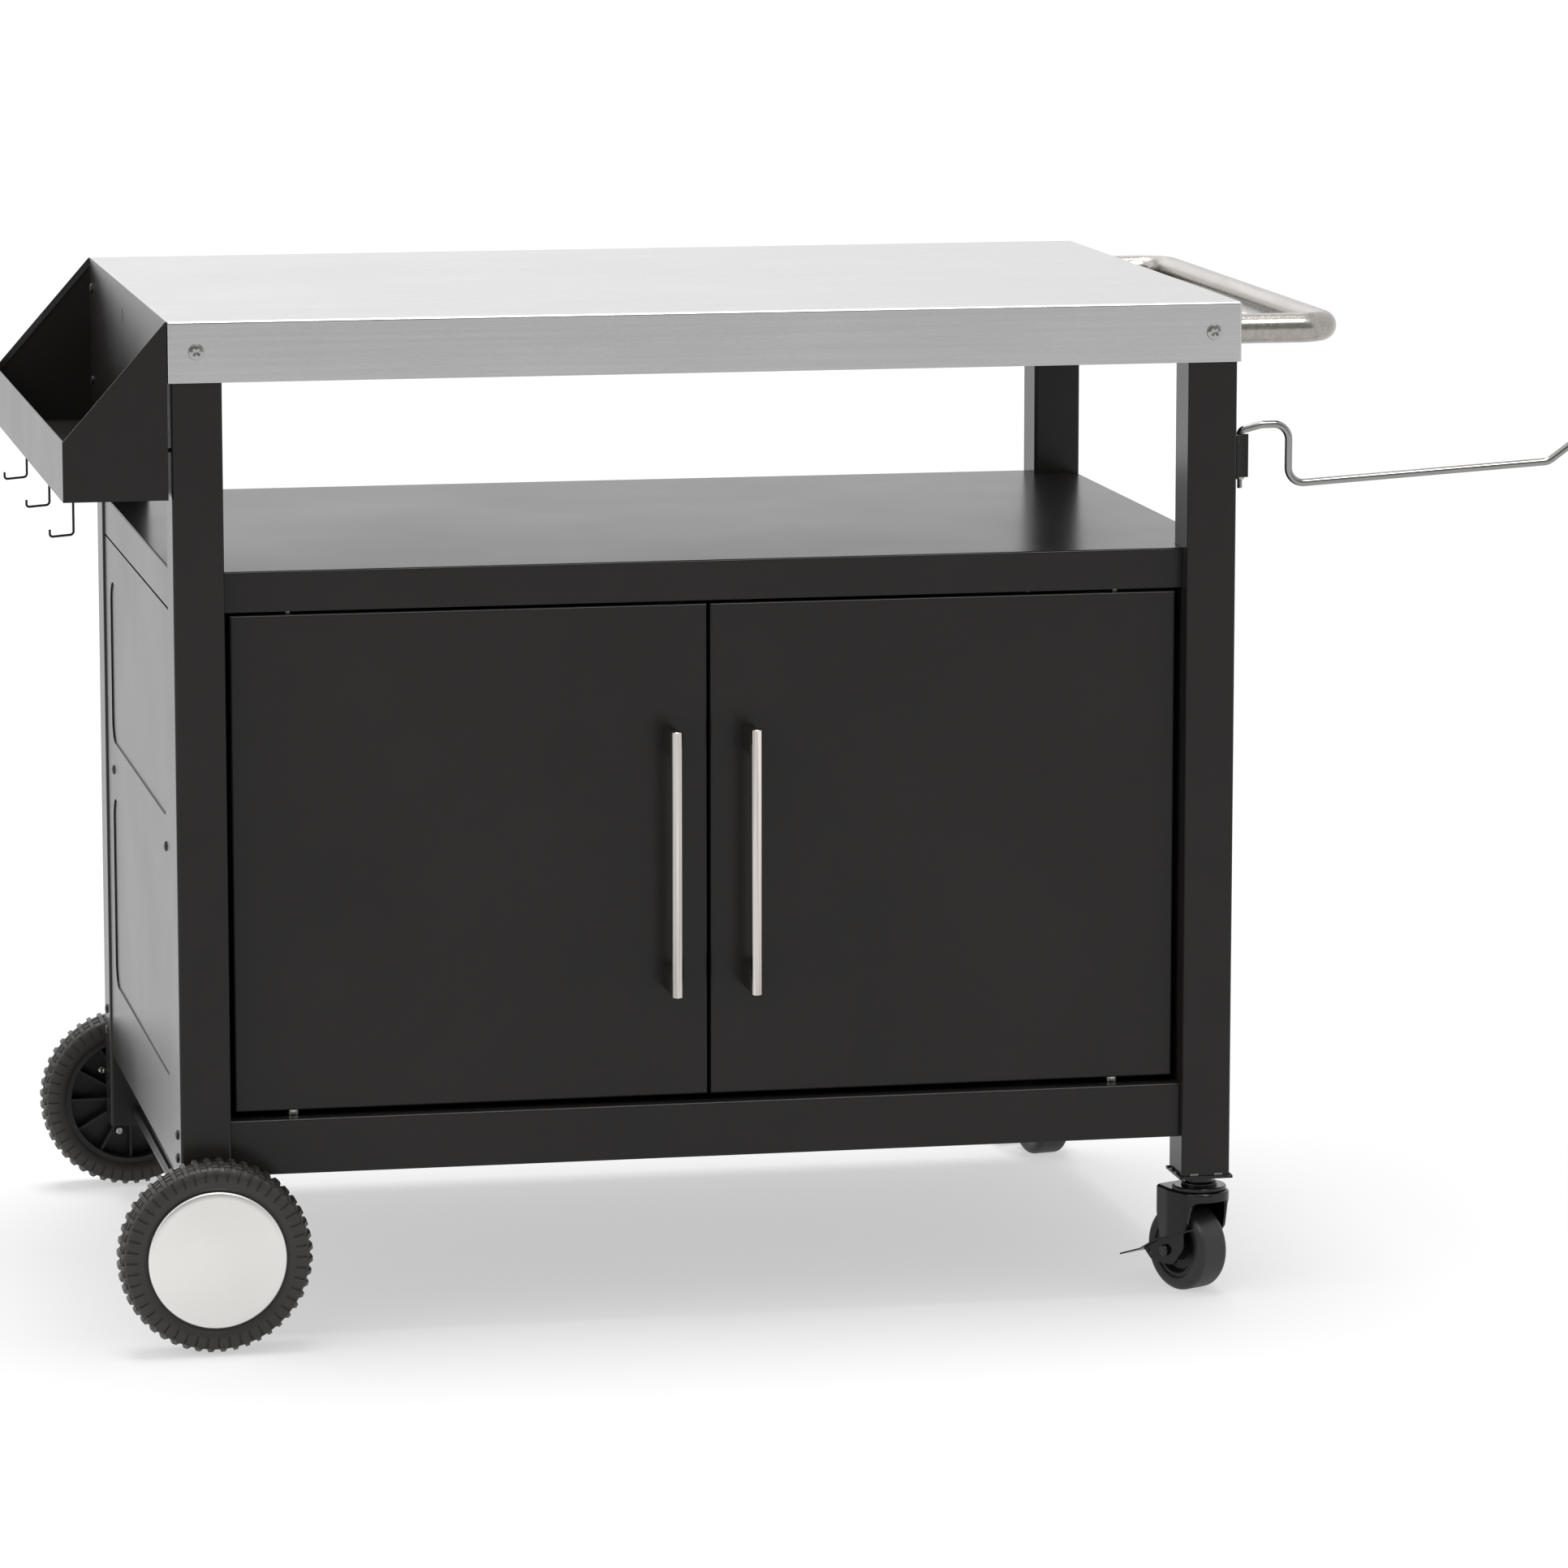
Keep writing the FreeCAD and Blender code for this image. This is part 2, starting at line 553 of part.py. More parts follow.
# Base pan: floor of the cabinet, with a deep rail in front and behind
def make_base_pan():
    body = new_body("base_pan")
    inner_x, inner_y = "(" + LEG_IN + " - seam)", "(" + LEG_BACK + " - seam)"
    side = "(" + SIDE + " - sheet - seam)"
    front = "(" + LEG_FRONT + " - base_setback)"
    low = "base_top - base_skirt"
    extrude(body, "Z", low, "base_top", cross_outline(side, inner_x, front, inner_y))
    round_edges(body, "fold", lambda edge: lies(edge, Z="base_top") and either(edge, "Y", front))
    inside = cross_outline(side + " - sheet", inner_x + " - sheet", front + " - sheet", inner_y + " - sheet")
    cut(body, "Z", low, "base_top - sheet", inside)
    pins = [(sign + PIVOT_X, minus(PIVOT_Y), "pin_radius + running") for sign in ("-", "")]
    cut(body, "Z", "base_top - 2", "base_top + 1", *pins)


# Side panels: folded sheet with two pressed fields
def make_side_panel(name, right):
    body = new_body(name)
    half = "(" + LEG_BACK + " - seam)"
    high = "(" + SHELF_LOW + " - panel_top_gap)"

    def span(outer, inner):
        """Start and stop along X of a layer given by its distances behind the panel's face."""
        low, top = SIDE + " - (" + inner + ")", SIDE + " - (" + outer + ")"
        return (low, top) if right else (minus(top), minus(low))

    extrude(body, "X", *span("0", "sheet"), box_outline(minus(half), "panel_bottom", half, high))
    edge = (box_outline(minus(half), "panel_bottom", half, "panel_bottom + sheet"),
            box_outline(minus(half), high + " - sheet", half, high))
    for outline in edge:
        extrude(body, "X", *span("sheet", "panel_return"), outline)
    fields = (("lower_field_low", "lower_field_high"), ("upper_field_low", "upper_field_high"))
    for low, top in fields:
        back = box_outline("-emboss_front - sheet", low + " - sheet", "emboss_front + sheet",
                           top + " + sheet", "emboss_corner + sheet")
        extrude(body, "X", *span("sheet", "sheet + emboss_depth"), back)
    for low, top in fields:
        face = box_outline("-emboss_front", low, "emboss_front", top, "emboss_corner")
        cut(body, "X", *span("0", "emboss_depth"), face)
    holes = [(sign + "panel_screw_reach", "panel_screw_height", "small_shank + shank_gap") for sign in ("-", "")]
    cut(body, "X", *span("-1", "sheet + 1"), *holes)


def make_panel_screws():
    body = new_body("panel_screws")
    for side in ("-", ""):
        for reach in ("-panel_screw_reach", "panel_screw_reach"):
            screw(body, "X", side + SIDE, side + "(" + SIDE + " - 9)", reach, "panel_screw_height",
                  "small_head", 2, "small_shank")
    nuts = [(reach, "panel_screw_height", "small_head") for reach in ("-panel_screw_reach", "panel_screw_reach")]
    inner, outer = "(" + SIDE + " - sheet - 3)", "(" + SIDE + " - sheet)"
    extrude(body, "X", minus(outer), minus(inner), *nuts)
    extrude(body, "X", inner, outer, *nuts)


def make_back_panel():
    body = new_body("back_panel")
    half = "(" + LEG_IN + " - seam)"
    outer = "(" + FACE + " - sheet)"
    extrude(body, "Y", outer + " - sheet", outer, box_outline(minus(half), "base_top", half, SHELF_LOW))
    rims = (box_outline(minus(half), "base_top", half, "base_top + sheet"),
            box_outline(minus(half), SHELF_LOW + " - sheet", half, SHELF_LOW))
    extrude(body, "Y", outer + " - panel_return", outer, *rims)


def make_leg_screws():
    body = new_body("leg_screws")
    for y in (minus(LEG_Y), LEG_Y):
        for height in LEG_SCREWS:
            screw(body, "X", minus(LEG_OUT), minus(LEG_OUT + " - leg_wall - 5"), y, height,
                  "small_head", 2.2, "small_shank")
    round_edges(body, 1, lambda edge: lies(edge, X=minus(LEG_OUT + " + 2.2")))


# Doors: folded pans that turn on pins set in from their outer edge
def make_door(name, right):
    body = new_body(name)

    def across(text_low, text_high):
        return (text_low, text_high) if right else (minus(text_high), minus(text_low))

    x_low, x_high = across(DOOR_IN, DOOR_OUT)
    front, back = minus(FACE), minus(DOOR_BACK)
    outer = box_outline(x_low, DOOR_LOW, x_high, DOOR_HIGH)
    extrude(body, "Y", front, back, outer)
    round_edges(body, "fold", lambda edge: lies(edge, Y=front))
    inner_low, inner_high = across(DOOR_IN + " + sheet", DOOR_OUT + " - sheet")
    inside = box_outline(inner_low, DOOR_LOW + " + sheet", inner_high, DOOR_HIGH + " - sheet")
    cut(body, "Y", front + " + sheet", back, inside)
    lip_low, lip_high = across(DOOR_IN + " + door_lip", DOOR_OUT + " - door_lip")
    opening = box_outline(lip_low, DOOR_LOW + " + door_lip", lip_high, DOOR_HIGH + " - door_lip")
    extrude(body, "Y", back + " - sheet", back, inside, opening)
    pin = (PIVOT_X if right else minus(PIVOT_X), minus(PIVOT_Y), "pin_radius + running")
    cut(body, "Z", DOOR_LOW + " - 1", DOOR_LOW + " + 2", pin)
    cut(body, "Z", DOOR_HIGH + " - 2", DOOR_HIGH + " + 1", pin)


# Pivot pins: headed pins through the base pan and the shelf lip, up and down into the doors
def make_door_pins():
    body = new_body("door_pins")
    for sign in ("-", ""):
        x, y = sign + PIVOT_X, minus(PIVOT_Y)
        extrude(body, "Z", "base_top - sheet - 3", "base_top - sheet", (x, y, "bush_radius"))
        extrude(body, "Z", "base_top - sheet", DOOR_LOW + " + 8", (x, y, "pin_radius"))
        extrude(body, "Z", SHELF_LOW + " + sheet", SHELF_LOW + " + sheet + 3", (x, y, "bush_radius"))
        extrude(body, "Z", DOOR_HIGH + " - 8", SHELF_LOW + " + sheet", (x, y, "pin_radius"))


# Bushes: bright collars that carry the doors on the base pan
def make_door_bushes():
    body = new_body("door_bushes")
    for sign in ("-", ""):
        x, y = sign + PIVOT_X, minus(PIVOT_Y)
        top = DOOR_LOW + " - rest_gap"
        extrude(body, "Z", "base_top", top, (x, y, "bush_radius"), (x, y, "pin_radius + running"))


def make_handle(name, right):
    body = new_body(name)
    x = HANDLE_X if right else minus(HANDLE_X)
    y = minus(FACE + " + handle_standoff")
    low, high = "handle_middle - handle_length / 2", "handle_middle + handle_length / 2"
    extrude(body, "Z", low, high, (x, y, "handle_radius"))
    round_edges(body, 0.6, lambda edge: lies(edge, Z=low) or lies(edge, Z=high))


# Handle posts: bent brackets between door and rod, hollowed for the rod's round back
def make_handle_posts(name, right):
    body = new_body(name)
    x = HANDLE_X if right else minus(HANDLE_X)
    y = minus(FACE + " + handle_standoff")
    for sign in ("-", "+"):
        middle = "handle_middle " + sign + " post_spacing / 2"
        outline = box_outline(x + " - post_width / 2", middle + " - post_height / 2",
                              x + " + post_width / 2", middle + " + post_height / 2", 2)
        extrude(body, "Y", minus(FACE + " + handle_standoff - 2"), minus(FACE), outline)
    low, high = "handle_middle - post_spacing", "handle_middle + post_spacing"
    cut(body, "Z", low, high, (x, y, "handle_radius"))


def make_striker(name, right):
    body = new_body(name)
    x = "catch_reach" if right else "-catch_reach"
    outline = box_outline(x + " - catch_width / 2 + 2", DOOR_HIGH + " - 13",
                          x + " + catch_width / 2 - 2", DOOR_HIGH + " - 1")
    extrude(body, "Y", minus(DOOR_BACK), minus(DOOR_BACK + " - striker_plate"), outline)


# Magnet catches: two housings under the shelf lip, each with a bright magnet in its face
def make_catches():
    body = new_body("magnet_catches")
    front = minus(DOOR_BACK + " - striker_plate - rest_gap")
    back = front + " + catch_depth"
    for x in ("-catch_reach", "catch_reach"):
        outline = box_outline(x + " - catch_width / 2", SHELF_LOW + " - catch_height",
                              x + " + catch_width / 2", SHELF_LOW)
        extrude(body, "Y", front, back, outline)
    round_edges(body, 1, lambda edge: lies(edge, Z=SHELF_LOW + " - catch_height") or lies(edge, Y=back))
    for x in ("-catch_reach", "catch_reach"):
        slot = box_outline(x + " - 7", SHELF_LOW + " - 9", x + " + 7", SHELF_LOW + " - 5")
        cut(body, "Y", front, front + " + 0.6", slot)


# Side tray: folded box with a high back, slanted ends and a low outer lip
def make_side_tray():
    body = new_body("side_tray")
    out, wall, half = minus(TRAY_OUT), "-(top_length / 2)", "(top_depth / 2)"
    lip_top = "tray_bottom + tray_lip"
    ends = ((wall, "tray_bottom"), (out, "tray_bottom"), (out, lip_top),
            (out + " + sheet", lip_top), (wall + " - sheet", "top_height"), (wall, "top_height"))
    extrude(body, "Y", minus(half), half, ends)
    floor = "tray_bottom + sheet"
    room = ((wall + " - sheet", floor), (out + " + sheet", floor), (out + " + sheet", lip_top + " + 1"),
            (wall + " - sheet - 1", "top_height + 1"), (wall + " - sheet", "top_height + 1"))
    cut(body, "Y", minus(half + " - sheet"), half + " - sheet", room)
    drop = "tray_hem"
    hem = ((out + " + sheet", lip_top + " - " + drop), (wall + " - sheet", "top_height - " + drop),
           (wall + " - sheet", "top_height - 1"), (out + " + sheet", lip_top + " - 1"))
    extrude(body, "Y", minus(half + " - sheet"), minus(half + " - 2 * sheet"), hem)
    extrude(body, "Y", half + " - 2 * sheet", half + " - sheet", hem)
    drains = [(out + " + 44", y, "drain_radius") for y in ("-drain_reach", "0", "drain_reach")]
    hooks = [(minus(HOOK_X), y, "hook_wire + shank_gap") for y in ("-hook_spacing", "0", "hook_spacing")]
    cut(body, "Z", "tray_bottom - 1", floor + " + 1", *drains, *hooks)
    screws = [(y, height, "small_shank + shank_gap") for y in (minus(LEG_Y), LEG_Y) for height in TRAY_SCREWS]
    slot = box_outline("25.5", "top_height - 34", "28.5", "top_height - 20", 1.4)
    cut(body, "X", wall + " - sheet - 1", wall + " + 1", *screws, slot, ("190", "top_height - 55", "1.6"))


# Tray screws: black, through the tray's back into the left legs; spacers below the worktop
def make_tray_screws():
    body = new_body("tray_screws")
    for y in (minus(LEG_Y), LEG_Y):
        for height in TRAY_SCREWS:
            screw(body, "X", minus("top_length / 2 + sheet"), minus(LEG_OUT + " - leg_wall - 4"), y, height,
                  "small_head", 2.2, "small_shank")
        extrude(body, "X", "-top_length / 2", minus(LEG_OUT), (y, TRAY_SCREWS[1], "small_head"))
    round_edges(body, 1, lambda edge: lies(edge, X=minus("top_length / 2 + sheet + 2.2")))


# Tray hooks: bent wires that hang through the tray floor
def make_tray_hooks():
    body = new_body("tray_hooks")
    x, wire = minus(HOOK_X), "hook_wire"
    top = "tray_bottom + sheet + hook_wire"
    low = "tray_bottom - hook_drop"
    for y in ("-hook_spacing", "0", "hook_spacing"):
        corners = ((x + " + 11", top), (x, top, 1.6), (x, low, "hook_bend"),
                   (x + " - hook_reach", low + " - 1.6", "hook_bend * 0.7"),
                   (x + " - hook_reach", low + " + hook_tip"))
        bent_rod(body, "Y", y, corners, wire)


# Push handle: bent stainless tube between the right legs' height, fixed to the skirt
def make_push_handle():
    body = new_body("push_handle")
    wall, out = "(top_length / 2)", "(top_length / 2 + push_reach)"
    corners = ((wall, minus(LEG_Y)), (out, minus(LEG_Y), "push_bend"), (out, LEG_Y, "push_bend"), (wall, LEG_Y))
    bent_rod(body, "Z", SKIRT_MIDDLE, corners, "push_radius", "push_radius - push_wall")
    for y in (minus(LEG_Y), LEG_Y):
        extrude(body, "X", wall + " + 2", wall + " + 5", (y, SKIRT_MIDDLE, "push_radius - push_wall / 2"),
                (y, SKIRT_MIDDLE, "screw_shank"))


# Handle screws: from inside the right legs, through the skirt into the ends of the tube
def make_handle_screws():
    body = new_body("handle_screws")
    for y in (minus(LEG_Y), LEG_Y):
        screw(body, "X", LEG_OUT + " - leg_wall", "top_length / 2 + 12", y, SKIRT_MIDDLE,
              "screw_head", 3.5, "screw_shank - 0.05")


# Swing rod bracket: screwed plate on the front right leg, with a front cheek and two ears
def make_rod_bracket():
    body = new_body("rod_bracket")
    inner, outer = LEG_OUT, LEG_OUT + " + bracket_reach"
    cheek_front = minus(LEG_Y + " + bracket_front")
    front = cheek_front + " - bracket_lap"
    back = front + " + bracket_depth"
    web = box_outline(inner, front, inner + " + bracket_plate", back)
    extrude(body, "Z", "bracket_low", "bracket_high", web)
    cheek = box_outline(inner, cheek_front, outer, cheek_front + " + bracket_plate")
    extrude(body, "Z", "bracket_low", "bracket_high", cheek)
    ear = ((inner, cheek_front), (outer, cheek_front), (outer, back, 7), (inner, back))
    extrude(body, "Z", "bracket_low", "bracket_low + bracket_plate", ear)
    extrude(body, "Z", EAR_TOP + " - bracket_plate", EAR_TOP, ear)
    rod = (ROD_X, minus(LEG_Y), "rod_radius + running")
    stud = (ROD_X, minus(LEG_Y), "rod_stud + running")
    cut(body, "Z", EAR_TOP + " - bracket_plate - 1", EAR_TOP + " + 1", rod)
    cut(body, "Z", "bracket_low - 1", "bracket_low + bracket_plate + 1", stud)
    holes = [(BRACKET_SCREW_Y, height, "small_shank + shank_gap") for height in BRACKET_SCREWS]
    cut(body, "X", inner + " - 1", inner + " + bracket_plate + 1", *holes)


def make_bracket_screws():
    body = new_body("bracket_screws")
    for height in BRACKET_SCREWS:
        screw(body, "X", LEG_OUT + " + bracket_plate", LEG_OUT + " - leg_wall - 4", BRACKET_SCREW_Y, height,
              3.6, 1.6, "small_shank")


# Swing rod: bent round bar with a thinner threaded end that turns in the bracket
def make_swing_rod():
    body = new_body("swing_rod")
    shoulder = "bracket_low + bracket_plate + rest_gap"
    x = ROD_X
    run = x + " + rod_hump + rod_run"
    corners = ((x, shoulder), (x, "rod_height - 5", 5), (x + " + 20", "rod_height", 25),
               (x + " + rod_hump", "rod_height", "rod_bend"), (x + " + rod_hump", "rod_run_height", "rod_bend"),
               (run, "rod_run_height + rod_rise", "rod_bend"),
               (run + " + rod_tip", "rod_run_height + rod_rise + rod_tip_rise"))
    bent_rod(body, "Y", minus(LEG_Y), corners, "rod_radius")
    extrude(body, "Z", "bracket_low - 8", shoulder, (x, minus(LEG_Y), "rod_stud"))


def make_rod_nut():
    body = new_body("rod_nut")
    place_on = (ROD_X, minus(LEG_Y))
    extrude(body, "Z", "bracket_low - rest_gap - 2.4", "bracket_low - rest_gap", place_on + (4.2,), place_on + ("rod_stud",))


# Axle: plain rod through both left legs, with nuts on its ends
def make_axle():
    body = new_body("axle")
    extrude(body, "Y", minus(AXLE_END), AXLE_END, (minus(AXLE_X), "wheel_radius", "axle_radius"))


def hexagon(u, v, flats):
    """Corners of a nut, across its flats, about a middle."""
    corners = []
    for step in range(6):
        turn = math.radians(60 * step + 30)
        corners.append(("%s + %s / 1.7320508 * %.6f" % (u, flats, math.cos(turn)),
                        "%s + %s / 1.7320508 * %.6f" % (v, flats, math.sin(turn))))
    return tuple(corners)


def make_axle_nuts():
    body = new_body("axle_nuts")
    start = "(" + AXLE_END + " - nut_height - 1)"
    ring = (minus(AXLE_X), "wheel_radius", "axle_radius")
    nut = hexagon(minus(AXLE_X), "wheel_radius", "nut_flats")
    extrude(body, "Y", start, start + " + nut_height", nut, ring)
    extrude(body, "Y", minus(start + " + nut_height"), minus(start), nut, ring)


def make_axle_washers():
    body = new_body("axle_washers")
    stop = "(" + AXLE_END + " - nut_height - 1)"
    start = "(" + WHEEL_Y + " + 6)"
    rings = (minus(AXLE_X), "wheel_radius", "nut_flats * 0.65"), (minus(AXLE_X), "wheel_radius", "axle_radius + 0.05")
    extrude(body, "Y", start + " + rest_gap", stop, *rings)
    extrude(body, "Y", minus(stop), minus(start + " + rest_gap"), *rings)


# Large wheels: tyre with two rows of blocks, ribbed rim, bright cap; the outside faces -Y
def wheel_place(body, back):
    if back:
        place(body, minus(AXLE_X), WHEEL_Y, "wheel_radius", 180)
    else:
        place(body, minus(AXLE_X), minus(WHEEL_Y), "wheel_radius")


def make_tyre(name, back):
    body = new_body(name)
    half, crown = "(wheel_width / 2 - 0.8)", "(wheel_radius - tread_height)"
    side = ((minus(half + " - 2"), "rim_radius"), (minus(half), "rim_radius + 4"),
            (minus(half), crown + " - 6", 5), (minus(half + " - 7"), crown, 6),
            (half + " - 7", crown, 6), (half, crown + " - 6", 5),
            (half, "rim_radius + 4"), (half + " - 2", "rim_radius"))
    revolve(body, [side])
    make_tread_row(body, minus, "0")
    make_tread_row(body, str, "180 / tread_count")
    wheel_place(body, back)


def make_tread_row(body, side, turn):
    """One row of blocks that reach from the middle of the tread over the shoulder."""
    half, top = "(wheel_width / 2)", "wheel_radius"
    corners = (("0.8", top + " - 6"), ("0.8", top), (half + " - 7", top + " - 0.3"), (half + " - 2", top + " - 4"),
               (half, top + " - 8"), (half, top + " - 15"), (half + " - 3", top + " - 15"))
    sketch = new_sketch(body, "X", 0)
    sketch.AttachmentOffset = Placement(Vector(), Rotation(Vector(1, 0, 0), 1))
    sketch.setExpression("AttachmentOffset.Rotation.Angle", bound(turn))
    trace(sketch, [(side(y), z) for y, z in corners])
    block = body.newObject("PartDesign::Pad", "Block")
    block.Profile = sketch
    block.setExpression("Length", bound("tread_block"))
    block.Midplane = True
    doc.recompute()
    polar(body, block, "Y_Axis", "tread_count")


def make_rim(name, back):
    body = new_body(name)
    half = "(wheel_width / 2)"
    outer = "rim_radius - 0.02"
    barrel = ((minus(half + " - 3"), outer), (minus(half + " - 3"), outer + " - rim_wall"),
              (half + " - 2.5", outer + " - rim_wall"), (half + " - 2.5", outer))
    revolve(body, [barrel])
    web_out = "-6"
    web = ((web_out, "axle_radius + running"), (web_out, outer + " - rim_wall / 2"),
           (web_out + " + rim_web", outer + " - rim_wall / 2"), (web_out + " + rim_web", "axle_radius + running"))
    revolve(body, [web])
    hub_end = half + " + wheel_gap - rest_gap"
    hub = ((web_out, "axle_radius + running"), (web_out, "rim_hub"), (hub_end, "rim_hub - 3"),
           (hub_end, "axle_radius + running"))
    revolve(body, [hub])
    rib = box_outline("-rib_width / 2", "rim_hub - 3.5", "rib_width / 2", outer + " - rim_wall / 2")
    pad = extrude(body, "Y", web_out + " + rim_web / 2", half + " - 9", rib)
    polar(body, pad, "Y_Axis", "rim_ribs")
    for u, v in cap_screw_places():
        cut(body, "Y", web_out + " - 1", web_out + " + rim_web + 1", (u, v, "small_shank + shank_gap"))
    wheel_place(body, back)


# Hub cap: bright pressed disc that closes the outside of the wheel; bare of any print
def make_hub_cap(name, back):
    body = new_body(name)
    face = "(wheel_width / 2 + 1.2)"
    profile = ((minus(face + " + cap_dome"), "0"), (minus(face), "rim_radius - 1.5"),
               (minus(face + " - 3.2"), "rim_radius - 0.6"), (minus(face + " - 3.2"), "rim_radius - 1.8"),
               (minus(face + " - 1"), "rim_radius - 3"), (minus(face + " + cap_dome - cap_sheet"), "0"))
    revolve(body, [profile])
    wheel_place(body, back)


def cap_screw_places():
    """Three places midway between two ribs of the rim."""
    turns = ["360 * (%.4f + 2.5 / rim_ribs)" % (step / 3) for step in range(3)]
    return [("cap_screw_reach * -sin(%s)" % turn, "cap_screw_reach * cos(%s)" % turn) for turn in turns]


# Hub cap screws: three long screws through bosses of the web, that hold the cap
def make_cap_screws(name, back):
    body = new_body(name)
    front = "-(wheel_width / 2 - 0.2)"
    for u, v in cap_screw_places():
        extrude(body, "Y", front, "-6", (u, v, 4.5))
        extrude(body, "Y", "-6 + rim_web", "-6 + rim_web + 2.6", (u, v, "small_head"))
        extrude(body, "Y", "-6", "-6 + rim_web", (u, v, "small_shank"))
    wheel_place(body, back)


# Casters: swivel race, stem and kingpin fixed under the leg plate
def make_caster_heads():
    body = new_body("caster_heads")
    race = "fork_top + rest_gap"
    race_top = race + " + race_height"
    for y in (minus(LEG_Y), LEG_Y):
        extrude(body, "Z", race, race_top, (LEG_X, y, "race_radius"))
        extrude(body, "Z", race_top, "right_leg_bottom - plate_thickness", (LEG_X, y, "stem_radius"))
        extrude(body, "Z", race_top, race_top + " + 3.5", (LEG_X, y, "stem_radius + 3.5"))
        extrude(body, "Z", "fork_top - fork_sheet - 2", race, (LEG_X, y, KINGPIN))
    round_edges(body, 1.5, lambda edge: lies(edge, Z=race_top) and edge.Length > value("race_radius * 6"))
    round_edges(body, 1.8, lambda edge: lies(edge, Z=race_top + " + 3.5") and edge.Length > value("stem_radius * 6.5"))


def caster_place(body, back):
    y = LEG_Y if back else minus(LEG_Y)
    place(body, LEG_X, y, 0, "back_caster_turn" if back else "front_caster_turn")


def fork_plan(rear, front, waist, half, smaller):
    """Plan of the hood: round in front, flat cheeks, drawn in towards the rear."""
    corners = ((rear, half + " - 5", 6 - smaller), (waist, half, 30), (front, half, 22 - smaller))
    return tuple((x, minus(y), radius) for x, y, radius in corners) + tuple(reversed(corners))


# Fork: pressed hood with two cheeks; the wheel trails towards -X of its own frame
def make_fork(name, back):
    body = new_body(name)
    low, front, rear = "(caster_radius - 11)", "fork_front", "-fork_rear"
    axle = "-caster_trail"
    waist = "(-caster_trail - 0.5)"
    plan = fork_plan(rear, front, waist, "fork_half", 0)
    extrude(body, "Z", low, "fork_top", plan)
    round_edges(body, 2.6, lambda edge: lies(edge, Z="fork_top"))
    inside = fork_plan(rear + " + fork_sheet", front + " - fork_sheet", waist, "(fork_half - fork_sheet)", 2)
    cut(body, "Z", low, "fork_top - fork_sheet", inside)
    far = "fork_half + 1"
    ahead = ((front + " + 2", low + " - 1"), (front + " + 2", "fork_top - 8.5"), ("15", "fork_top - 8.5", 10),
             ("9", "fork_top - 36"), (axle + " + 13", "caster_radius + 6", 8), (axle + " + 11", low + " - 1"))
    cut(body, "Y", minus(far), far, ahead)
    back_wall = "(fork_rear - fork_sheet - caster_trail)"
    lip = "(caster_radius + sqrt(caster_radius ^ 2 - " + back_wall + " ^ 2) + 1.5)"
    behind = ((rear + " - 2", low + " - 1"), (rear + " - 2", lip), (rear + " + fork_sheet", lip),
              (axle + " - 11", "caster_radius", 8), (axle + " - 9", low + " - 1"))
    cut(body, "Y", minus(far), far, behind)
    cut(body, "Y", minus(far), far, (axle, "caster_radius", "bolt_radius + running"))
    cut(body, "Z", "fork_top - fork_sheet - 1", "fork_top + 1", (0, 0, KINGPIN + " + running"))
    caster_place(body, back)


def make_caster_bolt(name, back):
    body = new_body(name)
    end = "fork_half + rest_gap + pedal_sheet + rest_gap"
    axle = "-caster_trail"
    extrude(body, "Y", minus(end), end, (axle, "caster_radius", "bolt_radius"))
    extrude(body, "Y", minus(end + " + 3.6"), minus(end), (axle, "caster_radius", "bolt_head"))
    round_edges(body, 1.6, lambda edge: lies(edge, Y=minus(end + " + 3.6")))
    extrude(body, "Y", end, end + " + 5.5", hexagon(axle, "caster_radius", 10))
    caster_place(body, back)


def make_caster_tyre(name, back):
    body = new_body(name)
    half = "(caster_width / 2)"
    side = ((minus(half + " - 1"), "caster_core"), (minus(half), "caster_core + 3"),
            (minus(half), "caster_radius", 6.5), (half, "caster_radius", 6.5),
            (half, "caster_core + 3"), (half + " - 1", "caster_core"))
    revolve(body, [side])
    place_caster_wheel(body, back)


def make_caster_core(name, back):
    body = new_body(name)
    half, hub = "(caster_width / 2 - 2)", "(fork_half - fork_sheet - rest_gap - 1.4)"
    bore = "bolt_radius + running"
    side = ((minus(hub), bore), (minus(hub), "5.5"), (minus(hub + " - 1.2"), "10"), (minus(half + " - 5"), "12"),
            (minus(half + " - 5"), "20"), (minus(half), "23"), (minus(half), "caster_core - 0.02"),
            (half, "caster_core - 0.02"), (half, "23"), (half + " - 5", "20"), (half + " - 5", "12"),
            (hub + " - 1.2", "10"), (hub, "5.5"), (hub, bore))
    revolve(body, [side])
    place_caster_wheel(body, back)


def place_caster_wheel(body, back):
    turn = "back_caster_turn" if back else "front_caster_turn"
    y = LEG_Y if back else minus(LEG_Y)
    place(body, LEG_X + " - caster_trail * cos(" + turn + ")", y + " - caster_trail * sin(" + turn + ")",
          "caster_radius", turn)


